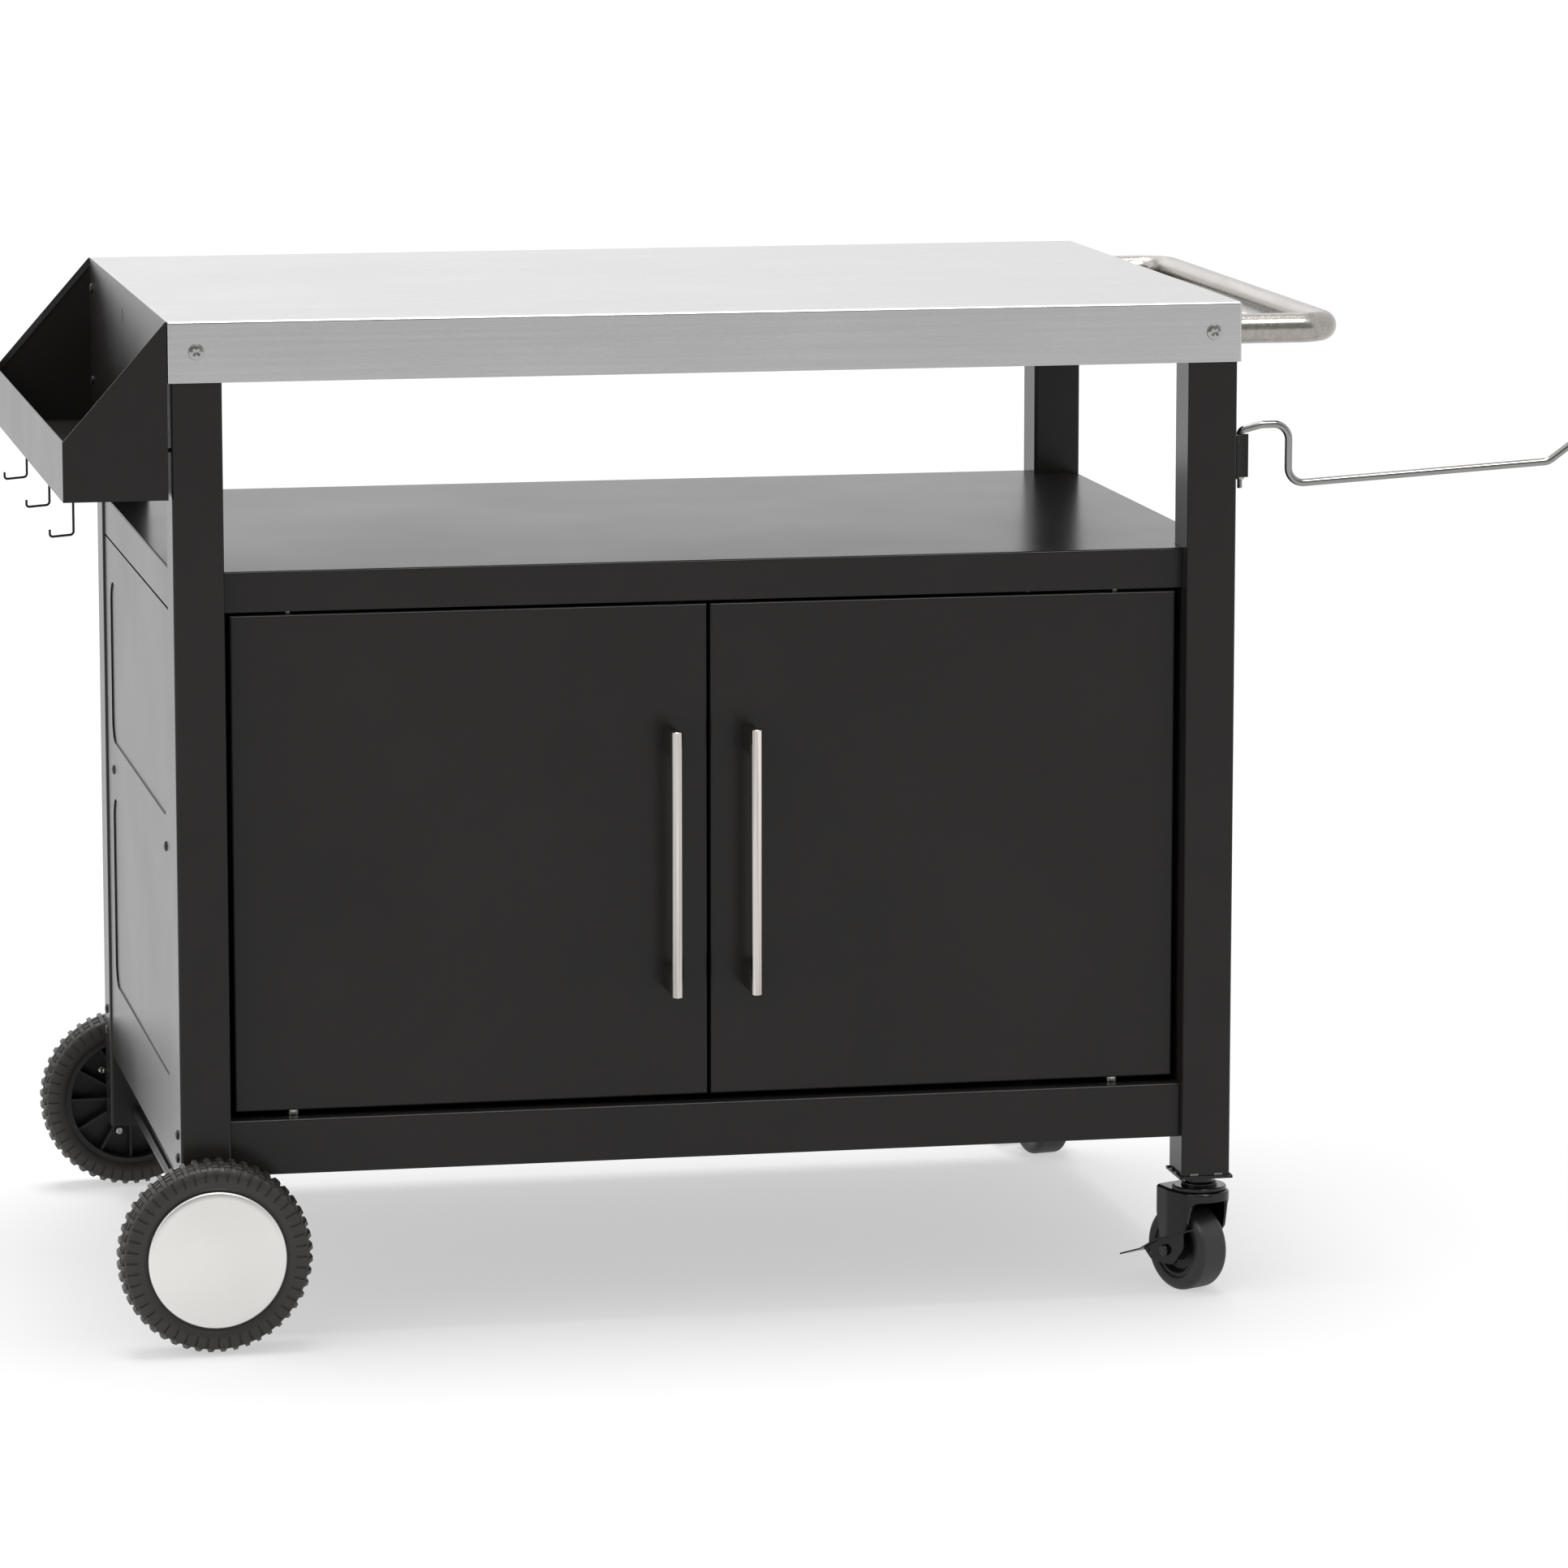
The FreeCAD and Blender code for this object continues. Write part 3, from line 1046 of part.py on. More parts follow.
# Brake lever: pressed plate behind the wheel, with an ear on each cheek of the fork
def make_brake_lever(name, back):
    body = new_body(name)
    inner, outer = "(fork_half + rest_gap)", "(fork_half + rest_gap + pedal_flange)"
    axle = "-caster_trail"

    def at(x, z, *radius):
        return ("%s + %s" % (axle, x), "caster_radius + %s" % z) + radius

    near = (at(39.5, 26.4), at(-12, 8.5), at(-32.5, -3.6), at(-60.5, -13.4))
    under = tuple((x, z + " - pedal_sheet") for x, z in reversed(near))
    extrude(body, "Y", minus(outer), minus(inner), near + under)
    extrude(body, "Y", minus(inner), outer, near[1:] + under[:-1])
    slot = box_outline(axle + " - 43", minus(inner), axle + " + 45", inner)
    cut(body, "Z", "0", "fork_top", slot)
    ear = (at(-31, -3.5), at(-20, -12.5, 5), at(10, -12.5, 10), at(24, 4, 6), at(24, 20.2), at(-12, 7.7))
    far_ear = ear[:2] + (at(10, -12.5, 6), at(12, 4, 6), at(-12, 7.7))
    extrude(body, "Y", minus(inner + " + pedal_sheet"), minus(inner), ear)
    extrude(body, "Y", inner, inner + " + pedal_sheet", far_ear)
    slit = (at(-23.5, -7.5), at(-21, -7.5), at(-21, -2), at(-23.5, -2))
    cut(body, "Y", minus(outer), outer, (axle, "caster_radius", "bolt_radius + running"), slit)
    caster_place(body, back)


def make_all():
    make_worktop()
    make_worktop_screws()
    for side, right in (("left", False), ("right", True)):
        for end, back in (("front", False), ("back", True)):
            make_leg("leg_" + end + "_" + side, right, back)
    make_caster_plates()
    make_shelf()
    make_base_pan()
    make_side_panel("side_panel_left", False)
    make_side_panel("side_panel_right", True)
    make_panel_screws()
    make_back_panel()
    make_leg_screws()
    make_door_pins()
    make_door_bushes()
    make_catches()
    for side, right in (("left", False), ("right", True)):
        make_door("door_" + side, right)
        make_handle("door_handle_" + side, right)
        make_handle_posts("handle_posts_" + side, right)
        make_striker("striker_" + side, right)
    make_side_tray()
    make_tray_screws()
    make_tray_hooks()
    make_push_handle()
    make_handle_screws()
    make_rod_bracket()
    make_bracket_screws()
    make_swing_rod()
    make_rod_nut()
    make_axle()
    make_axle_nuts()
    make_axle_washers()
    make_caster_heads()
    for end, back in (("front", False), ("back", True)):
        make_tyre("tyre_" + end, back)
        make_rim("rim_" + end, back)
        make_hub_cap("hub_cap_" + end, back)
        make_cap_screws("cap_screws_" + end, back)
        make_fork("caster_fork_" + end, back)
        make_caster_bolt("caster_bolt_" + end, back)
        make_caster_tyre("caster_tyre_" + end, back)
        make_caster_core("caster_core_" + end, back)
        make_brake_lever("brake_lever_" + end, back)


def check_and_write():
    """Stops on any failed feature or bad shape, then writes one STEP file for each sub-part."""
    for item in doc.Objects:
        if "Invalid" in item.State or "Error" in item.State:
            raise ValueError("failed: " + item.Name + " of " + str([parent.Label for parent in item.InList]))
        if item.TypeId in ("PartDesign::Pocket", "PartDesign::Groove"):
            before = item.BaseFeature.Shape.Volume
            if item.Shape.Volume >= before - CLOSE:
                raise ValueError("cuts nothing: " + item.Name + " of " + item.getParentGeoFeatureGroup().Label)
    os.makedirs("parts", exist_ok=True)
    for body in bodies:
        if body.Shape.isNull() or not body.Shape.isValid():
            raise ValueError("bad shape: " + body.Label)
        body.Shape.exportStep("parts/" + body.Label + ".step")
        solids = len(body.Shape.Solids)
        print("%-20s %2d solids %12.1f mm3" % (body.Label, solids, body.Shape.Volume))


doc = FreeCAD.newDocument("GrillCart")
bodies = []
sheet = make_sheet()
doc.recompute()
make_all()
doc.recompute()
check_and_write()
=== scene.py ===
import json
import math

import bmesh
import bpy
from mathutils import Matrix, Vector


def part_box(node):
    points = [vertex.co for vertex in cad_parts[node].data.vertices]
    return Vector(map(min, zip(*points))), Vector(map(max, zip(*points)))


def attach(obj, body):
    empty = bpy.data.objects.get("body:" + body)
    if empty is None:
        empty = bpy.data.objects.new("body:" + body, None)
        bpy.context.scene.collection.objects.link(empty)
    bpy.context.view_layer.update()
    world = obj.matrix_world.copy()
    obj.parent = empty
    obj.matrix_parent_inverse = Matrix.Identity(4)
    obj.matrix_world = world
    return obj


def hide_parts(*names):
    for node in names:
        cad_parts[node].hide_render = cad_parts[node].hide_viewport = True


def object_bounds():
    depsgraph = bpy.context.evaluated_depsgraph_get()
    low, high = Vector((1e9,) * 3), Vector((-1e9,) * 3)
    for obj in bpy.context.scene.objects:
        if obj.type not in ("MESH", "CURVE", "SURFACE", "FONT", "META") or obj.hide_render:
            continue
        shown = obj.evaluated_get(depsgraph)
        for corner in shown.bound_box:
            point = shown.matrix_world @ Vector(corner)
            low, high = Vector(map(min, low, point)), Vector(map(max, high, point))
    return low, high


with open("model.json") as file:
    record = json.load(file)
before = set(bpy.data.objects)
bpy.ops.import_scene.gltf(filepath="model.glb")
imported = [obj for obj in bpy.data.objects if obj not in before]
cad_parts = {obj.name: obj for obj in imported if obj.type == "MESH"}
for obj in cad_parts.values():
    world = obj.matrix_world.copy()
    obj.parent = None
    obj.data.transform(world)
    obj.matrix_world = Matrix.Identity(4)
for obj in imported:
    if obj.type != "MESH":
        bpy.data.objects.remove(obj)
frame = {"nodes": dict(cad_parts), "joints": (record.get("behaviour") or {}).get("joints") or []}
cad_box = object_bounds()


# Worktop: one sheet of stainless steel, folded down on all four sides, with welded and ground corners.
# It is brushed along its length, and its folds catch the light as thin bright lines.
def node(tree, kind, inputs=(), **settings):
    """Adds a shader node; an input is a plain value or another node's output."""
    made = tree.nodes.new("ShaderNode" + kind)
    for name, value in settings.items():
        setattr(made, name, value)
    for name, value in dict(inputs).items():
        if isinstance(value, bpy.types.NodeSocket):
            tree.links.new(value, made.inputs[name])
        else:
            made.inputs[name].default_value = value
    return made


def new_group(name, inputs, outputs):
    """A node group with named sockets, and the nodes that hold them."""
    tree = bpy.data.node_groups.new(name, "ShaderNodeTree")
    for label, kind, value in inputs:
        socket = tree.interface.new_socket(label, in_out="INPUT", socket_type=kind)
        socket.default_value = value
    for label, kind in outputs:
        tree.interface.new_socket(label, in_out="OUTPUT", socket_type=kind)
    return tree, tree.nodes.new("NodeGroupInput").outputs, tree.nodes.new("NodeGroupOutput").inputs


def placed(tree, effect, **values):
    """Puts an effect's group in a material, read at the piece's own coordinates."""
    made = tree.nodes.new("ShaderNodeGroup")
    made.node_tree = effect
    tree.links.new(node(tree, "TexCoord").outputs["Object"], made.inputs["Position"])
    for name, value in values.items():
        made.inputs[name].default_value = value
    return made.outputs


def new_material(name, **plain):
    """A material with a Principled shader, whose even values are set on its own sockets."""
    material = bpy.data.materials.new(name)
    material.use_nodes = True
    tree = material.node_tree
    shader = tree.nodes["Principled BSDF"]
    for socket, value in plain.items():
        shader.inputs[socket.replace("_", " ")].default_value = value
    return material, tree, shader.inputs


def spread(tree, value, low, high, start=0.3, stop=0.7):
    """Maps a pattern's usual span onto low to high."""
    return node(tree, "MapRange", {"Value": value, "From Min": start, "From Max": stop,
                                   "To Min": low, "To Max": high}).outputs[0]


def tinted(tree, factor, first, second):
    """A colour between two, by a pattern."""
    mix = node(tree, "Mix", {"Factor": factor}, data_type="RGBA")
    mix.inputs[6].default_value = first + (1,)
    mix.inputs[7].default_value = second + (1,)
    return mix.outputs[2]


def bumped(tree, shader, height, strength, distance):
    """Lets a pattern dent the surface, by up to a distance in metres."""
    bump = node(tree, "Bump", {"Height": height, "Strength": strength, "Distance": distance})
    tree.links.new(bump.outputs[0], shader["Normal"])


brushing, given, result = new_group(
    "Brushing", (("Position", "NodeSocketVector", (0, 0, 0)), ("Lines", "NodeSocketVector", (4, 900, 900))),
    (("Streaks", "NodeSocketFloat"), ("Bands", "NodeSocketFloat"), ("Smears", "NodeSocketFloat")))
drawn = node(brushing, "VectorMath", {0: given["Position"], 1: given["Lines"]}, operation="MULTIPLY").outputs[0]
wider = node(brushing, "VectorMath", {0: drawn, 1: (0.3, 0.13, 0.13)}, operation="MULTIPLY").outputs[0]
for label, vector, scale, detail in (("Streaks", drawn, 1, 3), ("Bands", wider, 1, 3),
                                     ("Smears", given["Position"], 5.5, 3)):
    pattern = node(brushing, "TexNoise", {"Vector": vector, "Scale": scale, "Detail": detail})
    brushing.links.new(pattern.outputs["Fac"], result[label])


def brushed_steel(name, lines, dark, light, rough, depth):
    """Ground stainless: fine streaks in colour, gloss and height, over broad soft smears."""
    material, tree, shader = new_material(name, Metallic=1)
    grain = placed(tree, brushing, Lines=lines)
    mixed = node(tree, "Math", {0: grain["Streaks"], 1: grain["Bands"]}, operation="ADD").outputs[0]
    tree.links.new(tinted(tree, spread(tree, mixed, 0, 1, 0.75, 1.25), dark, light), shader["Base Color"])
    base = spread(tree, grain["Streaks"], rough - 0.05, rough + 0.05)
    gloss = node(tree, "Math", {0: base, 1: spread(tree, grain["Smears"], -0.03, 0.04)}, operation="ADD")
    tree.links.new(gloss.outputs[0], shader["Roughness"])
    bumped(tree, shader, grain["Streaks"], depth, 0.0002)
    return material


SHARP = math.radians(28)
FLAT = math.radians(0.3)
SAME_PLACE = 2e-6
FACE_SHARE = 0.35


def reach(face, edge):
    """How far a face extends from one of its edges."""
    start, end = (vertex.co for vertex in edge.verts)
    along = (end - start).normalized()
    return max((vertex.co - start).cross(along).length for vertex in face.verts)


def link(name, mesh):
    """A new object in the scene."""
    piece = bpy.data.objects.new(name, mesh)
    bpy.context.scene.collection.objects.link(piece)
    return piece


def rounded(name, cad_node, radius):
    """The node's own form with every outer edge rounded, as far as the faces beside it have room."""
    mesh = frame["nodes"][cad_node].data.copy()
    form = bmesh.new()
    form.from_mesh(mesh)
    bmesh.ops.remove_doubles(form, verts=form.verts, dist=SAME_PLACE)
    bmesh.ops.dissolve_limit(form, angle_limit=FLAT, verts=form.verts, edges=form.edges)
    weight = form.edges.layers.float.new("bevel_weight_edge")
    for face in form.faces:
        face.smooth = True
    for edge in form.edges:
        bend = edge.calc_face_angle_signed(0)
        edge.smooth = bend > -SHARP
        if bend > SHARP:
            room = min(reach(face, edge) for face in edge.link_faces)
            edge[weight] = min(1, FACE_SHARE * room / radius)
    form.to_mesh(mesh)
    form.free()
    piece = link(name, mesh)
    bevel = piece.modifiers.new("Rounded", "BEVEL")
    bevel.limit_method = "WEIGHT"
    bevel.width = radius
    bevel.segments = 3
    piece.modifiers.new("Flat faces", "WEIGHTED_NORMAL").keep_sharp = True
    return piece


def settle(piece, body, material, slot, *nodes):
    """Gives a piece its finish, the body it rides on and the nodes that it stands for."""
    piece.data.materials.clear()
    piece.data.materials.append(material)
    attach(piece, body)
    if nodes:
        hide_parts(*nodes)


steel_top = brushed_steel("Brushed worktop steel", (14, 2200, 2200), (0.485, 0.485, 0.489), (0.535, 0.535, 0.539),
                          rough=0.27, depth=0.035)
settle(rounded("worktop_pan", "worktop", 0.0018), "frame", steel_top, "brushed_stainless", "worktop")


# Worktop screws: zinc-plated pan heads with a pressed cross, two in the front skirt and two in the back.
# The same head, in smaller sizes and in black, holds the tray, the panels and the legs.
def solids(cad_node):
    """The boxes of a node's separate solids, as (lowest, highest) corners, in order of place."""
    form = bmesh.new()
    form.from_mesh(frame["nodes"][cad_node].data)
    bmesh.ops.remove_doubles(form, verts=form.verts, dist=SAME_PLACE)
    left = set(form.verts)
    boxes = []
    while left:
        group, edge_of = set(), [left.pop()]
        while edge_of:
            vertex = edge_of.pop()
            group.add(vertex)
            beside = {edge.other_vert(vertex) for edge in vertex.link_edges} & left
            left -= beside
            edge_of += beside
        spans = [(min(v.co[i] for v in group), max(v.co[i] for v in group)) for i in range(3)]
        boxes.append((Vector(s[0] for s in spans), Vector(s[1] for s in spans)))
    form.free()
    return sorted(boxes, key=lambda box: [round(place, 4) for place in box[0]])


def lathe(form, centre, axis, profile, steps, shape=None):
    """Turns a profile of (place along the axis, radius); shape may press each point of it in or out."""
    axis = Vector(axis).normalized()
    across = axis.orthogonal().normalized()
    up = axis.cross(across)
    rings = []
    for along, radius in profile:
        ring = []
        if radius < SAME_PLACE:
            ring = [form.verts.new(centre + axis * along)]
        else:
            for step in range(steps):
                turn = math.tau * step / steps
                place = along + (shape(radius, turn) if shape else 0)
                ring.append(form.verts.new(centre + axis * place
                                           + (across * math.cos(turn) + up * math.sin(turn)) * radius))
        rings.append(ring)
    for first, second in zip(rings, rings[1:]):
        for step in range(max(len(first), len(second))):
            following = (step + 1) % max(len(first), len(second))
            corners = [first[step % len(first)], first[following % len(first)],
                       second[following % len(second)], second[step % len(second)]]
            form.faces.new(dict.fromkeys(corners))


def finished(name, form, crease=32):
    """A mesh piece from what was modelled, smooth up to the crease angle."""
    bmesh.ops.recalc_face_normals(form, faces=form.faces)
    mesh = bpy.data.meshes.new(name)
    form.to_mesh(mesh)
    form.free()
    mesh.shade_smooth()
    mesh.set_sharp_from_angle(angle=math.radians(crease))
    return link(name, mesh)


# Shares of the head's radius: half width and reach of the cross, start of the rim, and the shank
CROSS_ARM, CROSS_REACH, HEAD_RIM, SHANK, SHANK_END = 0.16, 0.56, 0.93, 0.42, 0.3
# Shares of the head's height: fall of its dome, and depth of the cross
DOME, CROSS_DEPTH = 0.45, 0.5
DOME_RINGS = 24
SHANK_CHAMFER = 0.0008


def pan_heads(name, cad_node, outward, height):
    """Screws of a node: domed heads with a cross recess that face outward, on plain shanks."""
    form = bmesh.new()
    for low, high in solids(cad_node):
        middle = (low + high) / 2
        axis = Vector(outward(middle))
        size = high - low
        side = [abs(axis[i]) < 0.5 for i in range(3)].index(True)
        radius = size[side] / 2
        length = abs(size.dot(axis))
        outer = middle + axis * (length / 2)

        def pressed(at, turn, radius=radius):
            u, v = abs(at * math.cos(turn)), abs(at * math.sin(turn))
            arm = CROSS_ARM * radius
            inside = min(u, v) < arm and max(u, v) < CROSS_REACH * radius
            narrowing = 1 - 0.5 * at / (CROSS_REACH * radius)
            return -CROSS_DEPTH * height * narrowing if inside else 0

        dome = [(0, 0)]
        for step in range(1, DOME_RINGS + 1):
            at = radius * step / DOME_RINGS
            fall = height * DOME * (at / radius) ** 4
            edge_fall = height * (1 - DOME) * max(0, at / radius - HEAD_RIM) / (1 - HEAD_RIM)
            dome.append((-fall - edge_fall, at))
        lathe(form, outer, axis, dome, steps=96, shape=pressed)
        shank = ((-height, radius), (-height, radius * SHANK), (-length + SHANK_CHAMFER, radius * SHANK),
                 (-length, radius * SHANK_END), (-length, 0))
        lathe(form, outer, axis, shank, steps=24)
    return finished(name, form, crease=40)


def plated(name, colour, rough, grime):
    """Bright plating: clean metal with faint clouded patches."""
    material, tree, shader = new_material(name, Metallic=1)
    clouds = placed(tree, brushing, Lines=(60, 60, 60))
    tree.links.new(tinted(tree, spread(tree, clouds["Streaks"], 0, grime), colour, (0.3, 0.3, 0.3)),
                   shader["Base Color"])
    tree.links.new(spread(tree, clouds["Smears"], rough - 0.04, rough + 0.06), shader["Roughness"])
    return material


zinc = plated("Zinc plate", (0.42, 0.415, 0.4), rough=0.18, grime=0.5)
settle(pan_heads("worktop_pan_screws", "worktop_screws", lambda at: (0, math.copysign(1, at.y), 0), height=0.0028),
       "frame", zinc, "bright_screws", "worktop_screws")


# Legs: rectangular steel tubes with rounded corners; the right ones are shorter, the left ones drilled for the axle.
# Like every black sheet and tube they have a thin satin powder coat, a little uneven like orange peel.
# Its gloss changes in soft patches where it has been wiped.
coating, given, result = new_group(
    "Powder coat", (("Position", "NodeSocketVector", (0, 0, 0)), ("Peel", "NodeSocketFloat", 900)),
    (("Height", "NodeSocketFloat"), ("Wipes", "NodeSocketFloat"), ("Specks", "NodeSocketFloat")))
peel = node(coating, "TexNoise", {"Vector": given["Position"], "Scale": given["Peel"], "Detail": 2})
wipes = node(coating, "TexNoise", {"Vector": given["Position"], "Scale": 6, "Detail": 4, "Roughness": 0.6})
specks = node(coating, "TexNoise", {"Vector": given["Position"], "Scale": 420, "Detail": 2})
for label, pattern in (("Height", peel), ("Wipes", wipes), ("Specks", specks)):
    coating.links.new(pattern.outputs["Fac"], result[label])


def painted(name, colour, rough, shine):
    """Black coat: a dark colour with soft patches of gloss and a few pale specks of dust."""
    material, tree, shader = new_material(name, Specular_IOR_Level=shine)
    coat = placed(tree, coating)
    faded = tuple(value * 1.5 + 0.004 for value in colour)
    dust = spread(tree, coat["Specks"], 0, 0.5, 0.72, 0.8)
    tone = node(tree, "Math", {0: spread(tree, coat["Wipes"], 0, 0.35), 1: dust}, operation="ADD").outputs[0]
    tree.links.new(tinted(tree, tone, colour, faded), shader["Base Color"])
    tree.links.new(spread(tree, coat["Wipes"], rough - 0.012, rough + 0.02), shader["Roughness"])
    bumped(tree, shader, coat["Height"], 0.1, 0.0001)
    return material


black_coat = painted("Satin black coat", (0.0245, 0.0224, 0.0214), rough=0.24, shine=0.2)
for end in ("front", "back"):
    for side in ("left", "right"):
        leg = "leg_" + end + "_" + side
        settle(rounded(leg + "_tube", leg, 0.0014), "frame", black_coat, "black_powder_coat", leg)


# Caster plates: square steel plates that close the right legs from below and carry the casters.
# Each is held by two short weld beads on every side, and is coated with its leg.
settle(rounded("caster_plate_pair", "caster_plates", 0.0006), "frame", black_coat, "black_powder_coat", "caster_plates")


# Shelf and base pan: trays folded from black sheet and notched round the legs.
# The base pan is the cabinet's floor, and its deep front fold is the rail under the doors.
for pan in ("shelf", "base_pan"):
    settle(rounded(pan + "_sheet", pan, 0.0012), "frame", black_coat, "black_powder_coat", pan)


# Side panels and back panel: flat black sheets with turned edges, between the shelf and the base pan.
# Each side panel is stiffened by two shallow pressed fields with round corners.
for panel in ("side_panel_left", "side_panel_right", "back_panel"):
    settle(rounded(panel + "_sheet", panel, 0.0008), "frame", black_coat, "black_powder_coat", panel)


# Black screws: small oxide-black pan heads with a cross.
# Two hold each side panel, and two low in each left leg hold the base pan.
black_oxide = painted("Black oxide", (0.012, 0.012, 0.012), rough=0.3, shine=0.5)


def sideways(at):
    """The way out of the nearer end of the cart."""
    return (math.copysign(1, at.x), 0, 0)


SMALL_HEAD = 0.002
for screws in ("panel_screw", "leg_screw"):
    settle(pan_heads(screws + "_heads", screws + "s", sideways, SMALL_HEAD), "frame", black_oxide, "black_screws",
           screws + "s")


# Doors: pans folded from black sheet that turn on plain steel pins; bright bushes carry them on the base pan.
# Behind each door a bright striker plate meets the magnet catch under the shelf.
for side in ("left", "right"):
    door = "door_" + side
    settle(rounded(door + "_pan", door, 0.0014), door, black_coat, "black_powder_coat", door)
    settle(rounded("striker_plate_" + side, "striker_" + side, 0.0003), door, zinc, "bright_screws", "striker_" + side)
settle(rounded("door_pivot_pins", "door_pins", 0.0005), "frame", zinc, "bright_screws", "door_pins")
settle(rounded("door_pivot_bushes", "door_bushes", 0.0005), "frame", zinc, "bright_screws", "door_bushes")


# Magnet catches: two black moulded housings under the shelf's front fold, behind the doors' free edges.
# The same plastic, with its fine spark-eroded grain, is used for the wheels' rims and the casters' cores.
moulding, given, result = new_group(
    "Moulded grain", (("Position", "NodeSocketVector", (0, 0, 0)), ("Grain", "NodeSocketFloat", 1500)),
    (("Height", "NodeSocketFloat"), ("Tone", "NodeSocketFloat")))
grain = node(moulding, "TexVoronoi", {"Vector": given["Position"], "Scale": given["Grain"]})
tone = node(moulding, "TexNoise", {"Vector": given["Position"], "Scale": 25, "Detail": 3})
moulding.links.new(grain.outputs["Distance"], result["Height"])
moulding.links.new(tone.outputs["Fac"], result["Tone"])


def moulded(name, colour, rough, depth):
    """Moulded plastic: its grain in height, and faint clouds in colour and gloss."""
    material, tree, shader = new_material(name, Specular_IOR_Level=0.35)
    skin = placed(tree, moulding)
    faded = tuple(value * 1.9 + 0.003 for value in colour)
    tree.links.new(tinted(tree, spread(tree, skin["Tone"], 0, 1), colour, faded), shader["Base Color"])
    tree.links.new(spread(tree, skin["Tone"], rough - 0.07, rough + 0.07), shader["Roughness"])
    bumped(tree, shader, skin["Height"], depth, 0.0001)
    return material


black_plastic = moulded("Black plastic", (0.011, 0.011, 0.0112), rough=0.42, depth=0.25)
settle(rounded("magnet_housings", "magnet_catches", 0.0008), "frame", black_plastic, "black_plastic", "magnet_catches")


# Door handles: ground stainless bars with chamfered ends, one upright on each door.
# Two posts bent from black strip hold each bar off the door.
satin_bar = brushed_steel("Satin bar steel", (420, 420, 5), (0.36, 0.335, 0.31), (0.78, 0.74, 0.70),
                          rough=0.12, depth=0.05)
BAR_CHAMFER = 0.0008
for side in ("left", "right"):
    door = "door_" + side
    low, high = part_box("door_handle_" + side)
    radius = (high.x - low.x) / 2
    centre = Vector(((low.x + high.x) / 2, (low.y + high.y) / 2, low.z))
    length = high.z - low.z
    bar = bmesh.new()
    cut = BAR_CHAMFER * 0.4
    lathe(bar, centre, (0, 0, 1), ((0, 0), (0, radius - BAR_CHAMFER), (cut, radius - cut), (BAR_CHAMFER, radius),
                                   (length - BAR_CHAMFER, radius), (length - cut, radius - cut),
                                   (length, radius - BAR_CHAMFER), (length, 0)), steps=64)
    settle(finished("handle_bar_" + side, bar), door, satin_bar, "brushed_tube", "door_handle_" + side)
    settle(rounded("handle_post_pair_" + side, "handle_posts_" + side, 0.0008), door, black_coat, "black_powder_coat",
           "handle_posts_" + side)


# Side tray: one folded sheet with a high back, slanted ends with a hem, and a low outer lip.
# Black screws hold it to the left legs.
settle(rounded("side_tray_sheet", "side_tray", 0.001), "frame", black_coat, "black_powder_coat", "side_tray")
settle(pan_heads("tray_screw_heads", "tray_screws", lambda at: (-1, 0, 0), SMALL_HEAD), "frame", black_oxide,
       "black_screws", "tray_screws")


# Tool hooks: three wires, bent to a foot with a short upturned tip, and coated black.
# Their stems hang through the tray's floor, and a short bend on top keeps them there.
# They are numbered from front to back.
def bent_line(corners, steps=12):
    """Points along a line of (place, bend radius) corners, each bend a true arc."""
    places = [Vector(place) for place, bend in corners]
    bends = [bend for place, bend in corners]
    line = [places[0]]
    for before, here, after, bend in zip(places, places[1:], places[2:], bends[1:]):
        back, ahead = (before - here).normalized(), (after - here).normalized()
        half = back.angle(ahead) / 2
        trim = bend / math.tan(half)
        centre = here + (back + ahead).normalized() * (bend / math.sin(half))
        first, last = here + back * trim - centre, here + ahead * trim - centre
        for step in range(steps + 1):
            line.append(centre + first.slerp(last, step / steps) * bend)
    return line + [places[-1]]


ROUNDING = (0, 0.3, 0.7)


def bar_along(name, line, radius, sides, round_ends=0.0):
    """A round bar swept along a line, with its ends closed and a little rounded."""
    form = bmesh.new()
    rings = []
    directions = [(b - a).normalized() for a, b in zip(line, line[1:])]
    side = directions[0].orthogonal().normalized()
    stations = []
    for index, place in enumerate(line):
        before = directions[max(index - 1, 0)]
        after = directions[min(index, len(directions) - 1)]
        stations.append((place, (before + after).normalized()))
    cuts = []
    if round_ends:
        start, start_way = stations[0]
        end, end_way = stations[-1]
        for share in ROUNDING:
            cuts.append((start + start_way * round_ends * share, start_way, radius - round_ends * (1 - share) ** 2))
        stations[0] = (start + start_way * round_ends, start_way)
        stations[-1] = (end - end_way * round_ends, end_way)
    cuts += [(place, way, radius) for place, way in stations]
    if round_ends:
        for share in reversed(ROUNDING):
            cuts.append((end - end_way * round_ends * share, end_way, radius - round_ends * (1 - share) ** 2))
    for place, way, size in cuts:
        side = (side - way * side.dot(way)).normalized()
        up = way.cross(side)
        rings.append([form.verts.new(place + (side * math.cos(t) + up * math.sin(t)) * size)
                      for t in (math.tau * k / sides for k in range(sides))])
    for first, second in zip(rings, rings[1:]):
        for k in range(sides):
            form.faces.new((first[k], first[(k + 1) % sides], second[(k + 1) % sides], second[k]))
    form.faces.new(rings[0])
    form.faces.new(rings[-1])
    return finished(name, form, crease=50)


HOOK_TOP_BEND, HOOK_BEND, HOOK_TIP_BEND = 0.0016, 0.0035, 0.00245
